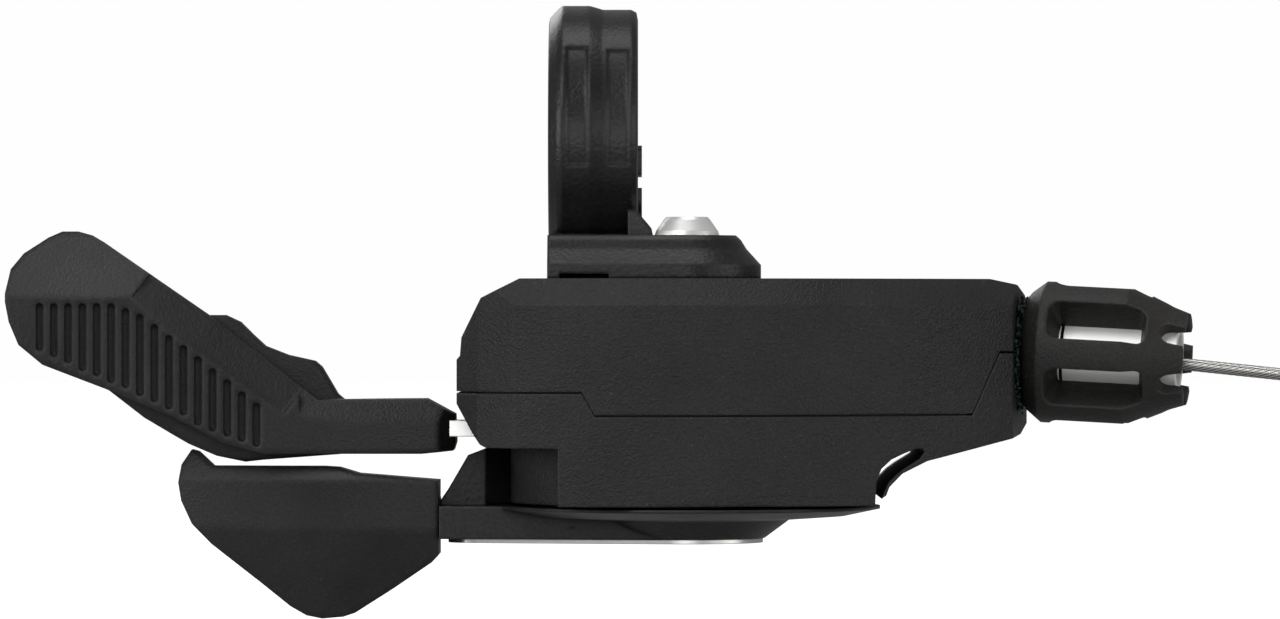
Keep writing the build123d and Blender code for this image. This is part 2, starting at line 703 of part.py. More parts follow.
# Outer levers, drawn from the front: from the tier's left side and down from the cover's top
lever_front = Plane((axle_x - tier_radius, axle_y, cover_top), x_dir=(1, 0, 0), z_dir=(0, -1, 0))
lever_depth = 36.0
lever_height = 46.0
lever_floor = Plane((axle_x - tier_radius, axle_y, cover_top - lever_depth))
bar_end = -5.45
bar_half = 4.6
bar_corner = 1.7
release_top = [
    (-50.9, -1.45), (-50.4, 1.0), (-49.1, 2.6), (-46.6, 4.2), (-45.2, 4.8), (-43.55, 4.8),
    (-42.1, 4.4), (-40.9, 3.7), (-30.3, -3.5), (-19.1, -12.1), (-18.0, -12.0), (-8.4, -11.95),
    (-5.55, -13.5),
]
release_under = [
    (bar_end, -16.3), (-5.7, -17.1), (-8.8, -17.4), (-24.5, -17.4), (-28.7, -16.3), (-33.8, -13.7),
    (-40.5, -11.0), (-47.0, -8.6), (-49.5, -6.6), (-50.5, -4.3), (-50.9, -2.3),
]
lobe_outline = [
    (-40.8, -5.1), (-30.2, -3.6), (-28.7, -3.6), (-27.2, -4.3), (-26.0, -5.5), (-24.7, -6.7),
    (-22.4, -7.6), (-19.7, -8.2), (-19.0, -8.8), (-17.4, -11.5), (-16.7, -12.1), (-16.7, -17.5),
    (-24.8, -18.1), (-26.6, -18.3), (-29.5, -17.7), (-32.3, -16.5), (-36.8, -13.9), (-40.5, -11.1),
]
lobe_plan = [(-41.8, 3.0), (-33.8, 1.0), (-15.8, 1.0), (-15.8, 4.2), (-33.8, 5.0), (-41.8, 7.0)]
groove_width = 0.8
groove_pitch = 1.47
groove_first = -47.3
groove_tops = [-2.4] * 6 + [-2.9, -3.5, -4.5, -5.6, -6.6, -7.7, -8.9, -10.0, -11.2, -12.3]
groove_ends = [
    -7.2, -7.8, -8.4, -9.2, -9.7, -10.4, -10.9, -11.7, -12.3, -13.0, -13.6, -14.6, -15.2, -15.7,
    -16.2, -16.7,
]
groove_cut = 0.5
tip_front = (-51.8, 3.4)
middle_front = (-33.8, -2.2)
bend_front = (-13.8, -bar_half)


def shifted(point, amount):
    """A point of the lever's plan moved back by an amount."""
    return (point[0], point[1] + amount)


def release_band(skin):
    """Sketch of the release lever from above: all of its thickness, or a skin on its front face."""
    with BuildLine() as edge:
        corner = (bar_end - bar_corner, -bar_half)
        Line(corner, bend_front)
        Spline(bend_front, middle_front, tip_front, tangents=[(-1, 0), (-1, 0.38)])
        if skin:
            back = [shifted(point, skin) for point in (tip_front, middle_front, bend_front)]
            Line(tip_front, back[0])
            Spline(*back, tangents=[(1, -0.38), (1, 0)])
            Polyline(back[2], shifted(corner, skin), corner)
        else:
            Line(tip_front, shifted(tip_front, 3.4))
            Spline(
                shifted(tip_front, 3.4), shifted(middle_front, 3.6), (-15.8, 1.6), (-9.8, bar_half),
                tangents=[(1, -0.38), (1, 0)],
            )
            Polyline((-9.8, bar_half), (bar_end, bar_half), (bar_end, bar_corner - bar_half), corner)
    make_face(edge.edges())


with BuildPart(mode=Mode.PRIVATE) as release_lobe:
    with BuildSketch(lever_floor):
        Polygon(*lobe_plan, align=None)
    extrude(amount=lever_height)
    with BuildSketch(lever_front):
        with BuildLine():
            Polyline(*lobe_outline, close=True)
        make_face()
    extrude(amount=depth, both=True, mode=Mode.INTERSECT)

with BuildPart(mode=Mode.PRIVATE) as release_grooves:
    with BuildSketch(lever_floor):
        release_band(groove_cut)
    extrude(amount=lever_height)
    with BuildSketch(lever_front):
        for i, (top, end) in enumerate(zip(groove_tops, groove_ends)):
            with Locations((groove_first + i * groove_pitch, (top + end) / 2)):
                SlotOverall(top - end, groove_width, rotation=90)
    extrude(amount=depth, both=True, mode=Mode.INTERSECT)

# Facets that lean back above the crease: from, to, each with its distance to the rider, and their lean
crease_facets = [
    ((-51.2, 3.1, -1.6), (-34.5, -2.47, -2.1), 24.0, 8.0),
    ((-38.2, -1.3, -2.2), (-22.5, -4.0, -13.5), 20.0, 9.0),
    ((-21.0, -bar_half, -14.2), (bar_end + 1, -bar_half, -14.2), 24.0, 4.0),
]


def facet_plane(near, far, lean):
    """Plane along a crease of a lever, leaning back above it."""
    along = (Vector(*far) - Vector(*near)).normalized()
    rise = Vector(0, 1, 0).cross(along) * -1
    rise = rise.normalized() if rise.Z > 0 else rise.normalized() * -1
    up = rise * cos(radians(lean)) + Vector(0, 1, 0) * sin(radians(lean))
    corner = Vector(*near) + Vector(axle_x - tier_radius, axle_y, cover_top)
    return Plane(corner, x_dir=along, z_dir=along.cross(up))


with BuildPart() as release_paddle:
    with BuildSketch(lever_floor):
        release_band(0)
    extrude(amount=lever_height)
    with BuildSketch(lever_front):
        with BuildLine():
            Polyline(*release_top, *release_under, close=True)
        make_face()
    extrude(amount=depth, both=True, mode=Mode.INTERSECT)
    for near, far, lean, reach in crease_facets:
        with BuildSketch(facet_plane(near, far, lean)):
            Rectangle((Vector(*far) - Vector(*near)).length, reach, align=(Align.MIN, Align.MIN))
        extrude(amount=reach, mode=Mode.SUBTRACT)
    add(release_lobe.part)
    add(release_grooves.part, mode=Mode.SUBTRACT)
    with BuildSketch(level(arm_bottom)):
        with Locations((-arm_reach / 2, 0)):
            Rectangle(arm_reach, 2 * arm_half)
    extrude(amount=arm_thickness, mode=Mode.SUBTRACT)
release_paddle.part.label = "release_paddle"
export_step(release_paddle.part, "parts/release_paddle.step")

# Pull lever: carrier and pawl inside the lower tier, hub under its floor, moulded paddle outside
carrier_thickness = 1.0
carrier_notch = carrier_radius - 5.6
drive_across = 9.0
with BuildPart() as pull_carrier:
    with BuildSketch(level(carrier_top)):
        Circle(carrier_radius)
        with Locations(polar(carrier_radius + 4, 290)):
            Circle(carrier_notch, mode=Mode.SUBTRACT)
        with Locations(polar(carrier_radius + 4, 10)):
            Circle(carrier_notch, mode=Mode.SUBTRACT)
        Circle(floor_bore)
        Circle(axle_radius + running_fit, mode=Mode.SUBTRACT)
        with Locations(polar(pull_pawl_circle, pull_pawl_angle)):
            Circle(pull_pin_radius, mode=Mode.SUBTRACT)
    extrude(amount=-carrier_thickness)
    with BuildSketch(level(carrier_top - carrier_thickness)):
        Circle(floor_bore - 0.1)
        Circle(axle_radius + running_fit, mode=Mode.SUBTRACT)
    extrude(amount=hub_top - carrier_top + carrier_thickness)
    with BuildSketch(level(hub_top)):
        Rectangle(drive_across, drive_across)
        Circle(axle_radius + running_fit, mode=Mode.SUBTRACT)
    extrude(amount=-1.2)
pull_carrier.part.label = "pull_carrier"
export_step(pull_carrier.part, "parts/pull_carrier.step")

pull_nose_angle = pull_pawl_angle + 38
pull_nose_radius = winding_tip + nose_gap
pull_pawl_place = polar(pull_pawl_circle, pull_pawl_angle)
with BuildPart() as pull_pawl:
    with BuildSketch(level(winding_bottom)):
        with Locations(pull_pawl_place):
            Circle(1.9)
        with Locations(polar(pull_nose_radius + 1.5, pull_nose_angle - 7)):
            Circle(0.9)
        make_hull()
        Polygon(
            polar(pull_nose_radius, pull_nose_angle), polar(pull_nose_radius + 2.2, pull_nose_angle - 4),
            polar(pull_nose_radius + 0.7, pull_nose_angle - 10), align=None,
        )
        with Locations(pull_pawl_place):
            Circle(pull_pin_radius + running_fit, mode=Mode.SUBTRACT)
    extrude(amount=ratchet_thickness)
pull_pawl.part.label = "pull_pawl"
export_step(pull_pawl.part, "parts/pull_pawl.step")

with BuildPart() as pull_pawl_pin:
    with BuildSketch(level(carrier_top - carrier_thickness)):
        with Locations(pull_pawl_place):
            Circle(pull_pin_radius)
    extrude(amount=winding_top - carrier_top + carrier_thickness)
pull_pawl_pin.part.label = "pull_pawl_pin"
export_step(pull_pawl_pin.part, "parts/pull_pawl_pin.step")

# Leaf spring that stands on the carrier and presses the pawl inwards
leaf_shape = [(-1.2, 98), (-0.3, 112), (-0.25, 130), (-0.4, 142), (-1.2, 158)]
leaf_path = [polar(carrier_radius + inset, angle) for inset, angle in leaf_shape]
with BuildPart() as pull_pawl_spring:
    with BuildSketch(level(carrier_top)):
        with BuildLine():
            Polyline(*leaf_path)
        trace(line_width=0.25)
    extrude(amount=1.6)
pull_pawl_spring.part.label = "pull_pawl_spring"
export_step(pull_pawl_spring.part, "parts/pull_pawl_spring.step")

hub_radius = tier_radius + 1.7
hub_boss = 10.3
hub_boss_low = 7.8
pull_arm_half = 5.0
pull_arm_end = -tier_radius - 7.05
wall_top = shelf_bottom - fine_gap
wall_inner = tier_radius + 2.5
wall_arcs = (3, -42)
spring_room = 7.4
spring_room_top = hub_top - 1.3
hub_taper = hub_top - 1.4
tenon_z = hub_top - 0.5
tenon_width = 5.0
tenon_height = 2.6
tenon_length = 5.0
with BuildPart() as pull_hub:
    with BuildSketch(pod_front):
        with BuildLine():
            Polyline(
                (0, hub_top), (hub_radius, hub_top), (hub_radius, hub_top - 0.3),
                (hub_radius - 3.3, hub_top - 1.0), (hub_boss, hub_taper), (hub_boss_low, hub_bottom),
                (0, hub_bottom), close=True,
            )
        make_face()
    revolve(axis=Axis((axle_x, axle_y, 0), (0, 0, 1)))
    with BuildSketch(level(hub_bottom)):
        Polygon(
            (0, -hub_boss_low), (0, hub_boss_low), (pull_arm_end, pull_arm_half),
            (pull_arm_end, -pull_arm_half), align=None,
        )
    extrude(amount=hub_top - hub_bottom)
    for arc in wall_arcs:
        with BuildSketch(pod_front):
            with BuildLine():
                Polyline(
                    (2 - hub_radius, hub_bottom), (2 - hub_radius, hub_top), (-wall_inner, hub_top),
                    (-wall_inner, wall_top), (-wall_inner - 1.8, wall_top - 0.7),
                    (pull_arm_end + 0.7, hub_top + 1.5), (pull_arm_end, hub_top + 0.5),
                    (pull_arm_end, hub_bottom), close=True,
                )
            make_face()
        revolve(axis=Axis((axle_x, axle_y, 0), (0, 0, 1)), revolution_arc=arc)
    with BuildSketch(level(hub_top)):
        Circle(axle_radius + running_fit)
    extrude(amount=hub_bottom - hub_top, mode=Mode.SUBTRACT)
    with BuildSketch(level(hub_top)):
        Rectangle(drive_across, drive_across)
    extrude(amount=-1.2, mode=Mode.SUBTRACT)
    with BuildSketch(level(hub_bottom)):
        Circle(spring_room)
    extrude(amount=spring_room_top - hub_bottom - 0.3, mode=Mode.SUBTRACT)
    with BuildSketch(lever_front.offset(hub_boss_low - 0.4)):
        with Locations((3.9, -24.8)):
            SlotOverall(5.4, 0.6, rotation=11)
    extrude(amount=-1.0, mode=Mode.SUBTRACT)
    with BuildSketch(Plane((axle_x + pull_arm_end, axle_y, 0), x_dir=(0, 1, 0), z_dir=(1, 0, 0))):
        with Locations((0, tenon_z)):
            Rectangle(tenon_width, tenon_height)
    extrude(amount=-tenon_length)
pull_hub.part.label = "pull_hub"
export_step(pull_hub.part, "parts/pull_hub.step")

with BuildPart() as lever_return_spring:
    with BuildSketch(level(hub_bottom + 0.1)):
        spiral_strip(5.2, spring_room - 0.7, 2, 0.45)
    extrude(amount=1.0)
lever_return_spring.part.label = "lever_return_spring"
export_step(lever_return_spring.part, "parts/lever_return_spring.step")

with BuildPart() as hub_plate:
    with BuildSketch(level(hub_bottom)):
        Circle(hub_boss_low - 0.2)
        with Locations((pull_arm_end + 4.4, 0)):
            Circle(3.6)
        make_hull()
    extrude(amount=-lever_plate)
hub_plate.part.label = "hub_plate"
export_step(hub_plate.part, "parts/hub_plate.step")

pull_outline = [
    (-32.1, -17.1), (-33.1, -18.6), (-33.4, -20.4), (-33.1, -22.2), (-32.0, -24.5), (-30.0, -26.5),
    (-24.9, -30.4), (-22.0, -32.7), (-20.4, -33.6), (-18.8, -33.9), (-16.7, -33.7), (-15.5, -33.3),
    (-11.6, -30.8), (-7.8, -28.2), (-7.15, -27.5), (-7.15, -20.1), (-12.7, -19.6), (-15.1, -19.4),
    (-17.1, -18.8), (-18.7, -18.7), (-29.8, -18.7), (-31.4, -17.3),
]
rib_top = -20.0
rib_low = -24.9
top_lean = 0.45
low_lean = 0.22


def pull_band():
    """Sketch of the pull lever's paddle from above."""
    with BuildLine() as edge:
        Line((-7.15, -4.6), (-11.8, -4.4))
        Spline((-11.8, -4.4), (-21.8, -2.6), (-34.8, 2.4))
        Line((-34.8, 2.4), (-34.8, 5.6))
        Spline((-34.8, 5.6), (-21.8, 1.6), (-7.15, 4.6))
        Line((-7.15, 4.6), (-7.15, -4.6))
    make_face(edge.edges())


with BuildPart() as pull_paddle:
    with BuildSketch(lever_floor.offset(lever_depth + rib_low)):
        pull_band()
    extrude(amount=rib_top - rib_low)
    with BuildSketch(lever_floor.offset(lever_depth + rib_low)):
        pull_band()
    extrude(amount=11.0, dir=(0, low_lean, -1))
    with BuildSketch(lever_floor.offset(lever_depth + rib_top)):
        pull_band()
    extrude(amount=4.0, dir=(0, top_lean, 1))
    with BuildSketch(lever_front):
        with BuildLine():
            Polyline(*pull_outline, close=True)
        make_face()
    extrude(amount=depth, both=True, mode=Mode.INTERSECT)
    with BuildSketch(Plane((axle_x + pull_arm_end, axle_y, 0), x_dir=(0, 1, 0), z_dir=(1, 0, 0))):
        with Locations((0, tenon_z)):
            Rectangle(tenon_width, tenon_height)
    extrude(amount=-tenon_length, mode=Mode.SUBTRACT)
pull_paddle.part.label = "pull_paddle"
export_step(pull_paddle.part, "parts/pull_paddle.step")

# Barrel adjuster: a threaded neck in the housing, an O-ring, a bright sleeve and the ribbed grip around it
with BuildPart() as threaded_neck:
    with BuildSketch(barrel_section):
        with BuildLine():
            Polyline(
                (-insert_depth, wire_hole), (-insert_depth, neck_radius), (1.2, neck_radius), (1.2, 4.1),
                (2.1, 4.1), (2.1, neck_radius), (2.5, neck_radius), (2.5, wire_hole), close=True,
            )
        make_face()
    revolve(axis=barrel_axis)
threaded_neck.part.label = "threaded_neck"
export_step(threaded_neck.part, "parts/threaded_neck.step")

with BuildPart() as barrel_o_ring:
    with BuildSketch(barrel_section):
        with Locations((1.65, 4.55)):
            Circle(0.44)
    revolve(axis=barrel_axis)
barrel_o_ring.part.label = "barrel_o_ring"
export_step(barrel_o_ring.part, "parts/barrel_o_ring.step")

window_start = 2.6
window_end = barrel_length - 3.45
window_width = 4.5
window_corner = 1.2
window_taper = 15.0
notch_width = 2.15
notch_depth = 2.4
cone_start = barrel_length - 5.9
sleeve_start = 2.7
sleeve_end = barrel_length - 0.8
with BuildPart() as barrel_grip:
    with BuildSketch(barrel_section):
        with BuildLine():
            Polyline(
                (0, neck_radius + running_fit), (0, 5.5), (0.4, 6.0), (1.8, barrel_radius),
                (cone_start, barrel_radius), (barrel_length - 1.8, barrel_radius - 1.8),
                (barrel_length, barrel_radius - 2.4), (barrel_length, sleeve_radius + 0.2),
                (sleeve_end, sleeve_radius), (window_start, sleeve_radius),
                (window_start, neck_radius + running_fit), close=True,
            )
        make_face()
    revolve(axis=barrel_axis)
    for k in range(rib_count):
        radial = barrel_cross.x_dir.rotate(Axis((0, 0, 0), barrel_dir), 360 / rib_count * (k + 0.5))
        side = Plane(barrel_origin + radial * barrel_radius, x_dir=barrel_dir, z_dir=radial)
        with BuildSketch(side):
            with Locations(((window_start + window_end) / 2, 0)):
                RectangleRounded(window_end - window_start, window_width, window_corner)
        extrude(amount=sleeve_radius - 0.6 - barrel_radius, taper=window_taper, mode=Mode.SUBTRACT)
        with BuildSketch(side):
            with Locations((barrel_length, 0)):
                SlotOverall(2 * notch_depth, notch_width)
        extrude(amount=-barrel_radius, mode=Mode.SUBTRACT)
barrel_grip.part.label = "barrel_grip"
export_step(barrel_grip.part, "parts/barrel_grip.step")

ferrule_radius = 2.6
ferrule_start = 5.5
with BuildPart() as barrel_sleeve:
    with BuildSketch(barrel_section):
        with BuildLine():
            Polyline(
                (sleeve_start, wire_hole), (sleeve_start, sleeve_radius), (3.7, sleeve_radius),
                (3.85, sleeve_radius - 0.25), (4.0, sleeve_radius), (sleeve_end, sleeve_radius),
                (sleeve_end, ferrule_radius), (ferrule_start, ferrule_radius), (ferrule_start, wire_hole),
                close=True,
            )
        make_face()
    revolve(axis=barrel_axis)
barrel_sleeve.part.label = "barrel_sleeve"
export_step(barrel_sleeve.part, "parts/barrel_sleeve.step")

# Inner wire: nipple in the spool, wire to the barrel, free run, coil with its tie, and the crimped end
nipple_place = polar(groove_radius, nipple_angle)
nipple_plane = Plane(
    (axle_x + nipple_place[0], axle_y + nipple_place[1], groove_z),
    x_dir=(0, 0, 1), z_dir=(-sin(radians(nipple_angle)), cos(radians(nipple_angle)), 0),
)
with BuildPart() as cable_nipple:
    with BuildSketch(nipple_plane):
        Circle(nipple_radius)
    extrude(amount=nipple_length / 2, both=True)
cable_nipple.part.label = "cable_nipple"
export_step(cable_nipple.part, "parts/cable_nipple.step")

run_start = barrel_origin + barrel_dir * (ferrule_start + 0.3)
wire_end_angle = nipple_angle - degrees((nipple_length / 2 + fine_gap) / groove_radius)
with BuildPart() as cable_wire:
    with BuildLine():
        wrap = 90 - cable_yaw - wire_end_angle
        arc = CenterArc((axle_x, axle_y, groove_z), groove_radius, wire_end_angle, wrap)
    with BuildSketch(Plane(arc @ 0, z_dir=arc % 0)):
        Circle(wire_radius)
    sweep()
    with BuildSketch(Plane(wire_start, z_dir=barrel_dir)):
        Circle(wire_radius)
    extrude(amount=(run_start - wire_start).length)
cable_wire.part.label = "cable_wire"
export_step(cable_wire.part, "parts/cable_wire.step")

sag_cos = cos(radians(wire_sag))
sag_sin = sin(radians(wire_sag))
run_dir = wire_flat * sag_cos - Vector(0, 0, sag_sin)
run_end = run_start + run_dir * run_length
coil_centre = run_end - (wire_flat * sag_sin + Vector(0, 0, sag_cos)) * turn_radius
coil_normal = Vector(yaw_sin, yaw_cos, 0)
coil_up = Vector(0, 0, 1)
coil_axis = Axis(coil_centre, coil_normal)
coil_inner = turn_radius + wire_radius - 2 * wire_radius * turn_layers
coil_outer = turn_radius + wire_radius
coil_width = 2 * wire_radius * turn_columns
coil_depth = coil_outer - coil_inner

with BuildPart() as cable_run:
    with BuildLine():
        Line(run_start, run_end)
    with BuildSketch(Plane(run_start, z_dir=run_dir)):
        Circle(wire_radius)
    sweep()
cable_run.part.label = "cable_run"
export_step(cable_run.part, "parts/cable_run.step")

with BuildPart() as cable_coil:
    with BuildSketch(Plane(coil_centre, x_dir=coil_up, z_dir=coil_up.cross(coil_normal))):
        with Locations(((coil_inner + coil_outer) / 2, 0)):
            RectangleRounded(coil_depth, coil_width, wire_radius)
    revolve(axis=coil_axis)
cable_coil.part.label = "cable_coil"
export_step(cable_coil.part, "parts/cable_coil.step")

tie_thickness = 0.8
tie_width = 3.0
tie_angle = degrees(tie_width / turn_radius)
with BuildPart() as cable_tie:
    with BuildSketch(Plane(coil_centre, x_dir=wire_flat, z_dir=wire_flat.cross(coil_normal))):
        with Locations(((coil_inner + coil_outer) / 2, 0)):
            RectangleRounded(coil_depth + 2 * tie_thickness, coil_width + 2 * tie_thickness, 1.2)
            RectangleRounded(coil_depth, coil_width, wire_radius, mode=Mode.SUBTRACT)
    revolve(axis=coil_axis, revolution_arc=tie_angle)
cable_tie.part.label = "cable_tie"
export_step(cable_tie.part, "parts/cable_tie.step")

cap_length = 9.0
cap_radius = 1.1
tail_start = coil_centre - coil_up * turn_radius
tail_length = 16.0
tail_end = tail_start - wire_flat * tail_length
with BuildPart() as cable_tail:
    with BuildLine():
        Line(tail_start, tail_end)
    with BuildSketch(Plane(tail_start, z_dir=wire_flat * -1)):
        Circle(wire_radius)
    sweep()
cable_tail.part.label = "cable_tail"
export_step(cable_tail.part, "parts/cable_tail.step")

with BuildPart() as cable_end_cap:
    with BuildSketch(Plane(tail_end, z_dir=wire_flat * -1)):
        Circle(cap_radius)
    extrude(amount=cap_length)
cable_end_cap.part.label = "cable_end_cap"
export_step(cable_end_cap.part, "parts/cable_end_cap.step")
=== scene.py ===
"""Trigger gear shifter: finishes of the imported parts, inner wire, thread paste, parting lip and studio."""

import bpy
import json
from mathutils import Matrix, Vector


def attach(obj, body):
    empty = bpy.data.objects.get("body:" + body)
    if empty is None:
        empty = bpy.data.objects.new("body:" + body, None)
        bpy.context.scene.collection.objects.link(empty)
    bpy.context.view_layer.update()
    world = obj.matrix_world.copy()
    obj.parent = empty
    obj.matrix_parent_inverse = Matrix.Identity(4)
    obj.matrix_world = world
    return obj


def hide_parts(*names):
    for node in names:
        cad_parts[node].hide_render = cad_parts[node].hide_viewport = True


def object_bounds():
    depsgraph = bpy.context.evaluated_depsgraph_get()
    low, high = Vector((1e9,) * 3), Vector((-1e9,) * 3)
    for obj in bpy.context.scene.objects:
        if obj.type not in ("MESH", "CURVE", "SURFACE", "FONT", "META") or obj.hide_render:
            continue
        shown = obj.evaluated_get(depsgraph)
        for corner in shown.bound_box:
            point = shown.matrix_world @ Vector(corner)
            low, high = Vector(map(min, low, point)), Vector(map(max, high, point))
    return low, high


bl_info = {
    "name": "Trigger Gear Shifter",
    "version": (1, 0, 0),
    "blender": (4, 5, 0),
    "location": "3D View > Sidebar > Shifter",
    "description": "Finishes, fine pieces and studio for a trigger gear shifter",
    "category": "Object",
}

import json

import bpy
import numpy as np
from bpy.props import FloatProperty, FloatVectorProperty, IntProperty, PointerProperty
from mathutils import Vector
from mathutils.geometry import convex_hull_2d

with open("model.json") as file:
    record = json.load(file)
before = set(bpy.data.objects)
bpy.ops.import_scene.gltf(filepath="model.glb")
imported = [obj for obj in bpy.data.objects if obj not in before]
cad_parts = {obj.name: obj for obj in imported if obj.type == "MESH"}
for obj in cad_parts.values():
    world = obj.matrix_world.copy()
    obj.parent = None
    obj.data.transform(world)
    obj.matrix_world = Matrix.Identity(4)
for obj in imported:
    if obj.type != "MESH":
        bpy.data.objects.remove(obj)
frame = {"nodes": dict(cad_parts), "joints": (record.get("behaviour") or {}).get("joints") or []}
cad_box = [list(corner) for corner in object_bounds()]
nodes = frame["nodes"]
joints = {joint["name"]: joint for joint in frame["joints"]}

MM = 0.001
UP = np.array([0.0, 0.0, 1.0])
WHITE = (1.0, 1.0, 1.0, 1.0)
axle = np.array(joints["spool_turn"]["pos_m"])
# The barrel's axis from the frame, and two directions square to it
barrel_origin = np.array(joints["barrel_turn"]["pos_m"])
barrel_dir = np.array(joints["barrel_turn"]["axis"])
barrel_side = np.cross(barrel_dir, UP)
barrel_side /= np.linalg.norm(barrel_side)
barrel_up = np.cross(barrel_side, barrel_dir)

# Parting line of the shells seen from the front: along the bar from the axle, and up
SEAM_MM = ((-26.0, -25.1), (-10.4, -25.1), (-9.1, -27.35), (28.2, -27.35), (31.05, -21.2), (37.0, -21.2))
SEAM = np.array(SEAM_MM) * MM + (axle[0], 0.0)

# Where the run's control points stand along it, and how much of the sideways step to the coil each takes
RUN_SHARES = np.array([0.0, 0.12, 0.3, 0.55, 0.8, 0.94])
RUN_DRIFT = np.array([0.0, 0.0, 0.05, 0.3, 0.7, 0.95])
RUN_SAG = float(np.radians(5.8))
TURN_POINTS = 16

# Cells of the patterns in one metre; those of the grain and its pits hold for a size of 1 mm
GRAIN_CELLS = 1000.0
PIT_CELLS = 1600.0
DUST_CELLS = 900.0
CLOUD_CELLS = 120.0
GRIT_CELLS = 2500.0
# Colour sockets of a Mix node, by number because their names come more than once
MIX_FACTOR, MIX_FIRST, MIX_SECOND, MIX_RESULT = 0, 6, 7, 2

# Soft square lights: name, place, side and power in watts
LIGHTS = (
    ("key", (-0.4, -0.6, 0.65), 0.45, 4.0),
    ("front", (-0.05, -1.25, 0.05), 0.6, 3.4),
    ("fill", (0.7, -0.8, 0.2), 0.4, 1.2),
    ("top", (0.05, 0.05, 0.8), 0.4, 1.5),
    ("left", (-0.95, -0.35, 0.15), 0.5, 3.4),
    ("right", (0.95, -0.35, 0.15), 0.5, 2.2),
    ("back", (-0.4, 1.1, 0.5), 0.6, 3.0),
)
LIGHTS_AIM = Vector((0.0, 0.0, -0.02))


def colour_property(name, description, default):
    """A colour that a user would change."""
    return FloatVectorProperty(
        name=name, description=description, subtype="COLOR", size=3, min=0.0, max=1.0, default=default
    )


class WireSettings(bpy.types.PropertyGroup):
    """Sizes of the inner wire, its run and its coil."""

    diameter: FloatProperty(name="Diameter", description="Wire's diameter", default=1.2 * MM, unit="LENGTH")
    strands: IntProperty(name="Strands", description="Strands in the outer layer", default=12, min=3)
    lay: FloatProperty(name="Lay", description="Length of one strand's turn", default=8.7 * MM, unit="LENGTH")
    run: FloatProperty(name="Run", description="Straight part past the barrel", default=48 * MM, unit="LENGTH")
    sag: FloatProperty(name="Sag", description="Fall of the run", default=RUN_SAG, unit="ROTATION")
    coil_radius: FloatProperty(name="Coil", description="Outer radius", default=19.4 * MM, unit="LENGTH")
    layers: IntProperty(name="Layers", description="Turns on each other", default=5, min=2)
    columns: IntProperty(name="Columns", description="Turns beside each other", default=4, min=1)
    tail: FloatProperty(name="Tail", description="Straight end in the cap", default=16 * MM, unit="LENGTH")


class FinishSettings(bpy.types.PropertyGroup):
    """Colours of the finishes."""

    nylon: colour_property("Housing", "Grained nylon of the pod's shells", (0.011, 0.011, 0.011))
    lever: colour_property("Levers", "Satin plastic of the paddles", (0.008, 0.008, 0.008))
    forged: colour_property("Clamp", "Black anodised forging", (0.008, 0.008, 0.008))
    paste: colour_property("Paste", "Thread paste at the barrel's root", (0.008, 0.035, 0.033))


class StudioSettings(bpy.types.PropertyGroup):
    """Camera and light."""

    distance: FloatProperty(name="Distance", description="Camera to the axle", default=0.7, unit="LENGTH")
    width: FloatProperty(name="Width", description="What the frame spans there", default=0.128, unit="LENGTH")
    level: FloatProperty(name="Level", description="Camera's height", default=-0.01695, unit="LENGTH")
    across: FloatProperty(name="Across", description="Place along the bar", default=0.0047, unit="LENGTH")


def socket(group, name, kind, out=False, default=None):
    """Adds a named socket to a node group."""
    made = group.interface.new_socket(name=name, in_out="OUTPUT" if out else "INPUT", socket_type=kind)
    if default is not None:
        made.default_value = default


def node(tree, kind, **values):
    """Adds a node, sets its fields by name and its sockets from a dictionary of plain values."""
    made = tree.nodes.new(kind)
    sockets = values.pop("sockets", {})
    for key, value in values.items():
        setattr(made, key, value)
    for key, value in sockets.items():
        made.inputs[key].default_value = value
    return made


def join(tree, source, target):
    """Links two sockets."""
    tree.links.new(source, target)


def maths(tree, operation, first, second=None, clamp=False):
    """A Math node whose inputs are sockets or numbers; gives its output."""
    made = node(tree, "ShaderNodeMath", operation=operation, use_clamp=clamp)
    for place, value in enumerate((first, second)):
        if isinstance(value, (int, float)):
            made.inputs[place].default_value = value
        elif value is not None:
            join(tree, value, made.inputs[place])
    return made.outputs[0]


def mixed(tree, factor, first, second, blend="MIX"):
    """Two colours blended by a factor; each of the three is a socket or a plain value."""
    made = node(tree, "ShaderNodeMix", data_type="RGBA", blend_type=blend)
    for place, value in ((MIX_FACTOR, factor), (MIX_FIRST, first), (MIX_SECOND, second)):
        if isinstance(value, bpy.types.NodeSocket):
            join(tree, value, made.inputs[place])
        elif place == MIX_FACTOR:
            made.inputs[place].default_value = value
        else:
            made.inputs[place].default_value = (*value, 1.0)
    return made.outputs[MIX_RESULT]


def spread(tree, value, low, high):
    """A number between two by a mask from 0 to 1."""
    fitted = node(tree, "ShaderNodeMapRange", sockets={"To Min": low, "To Max": high})
    join(tree, value, fitted.inputs["Value"])
    return fitted.outputs["Result"]


def new_group(name):
    """A shader node group with its input and output nodes."""
    group = bpy.data.node_groups.new(name, "ShaderNodeTree")
    return group, group.nodes.new("NodeGroupInput"), group.nodes.new("NodeGroupOutput")


def along_axis(group, given, place):
    """How far the position lies along the group's axis: their dot product."""
    along = node(group, "ShaderNodeVectorMath", operation="DOT_PRODUCT")
    join(group, place, along.inputs[0])
    join(group, given.outputs["Axis"], along.inputs[1])
    return along.outputs["Value"]


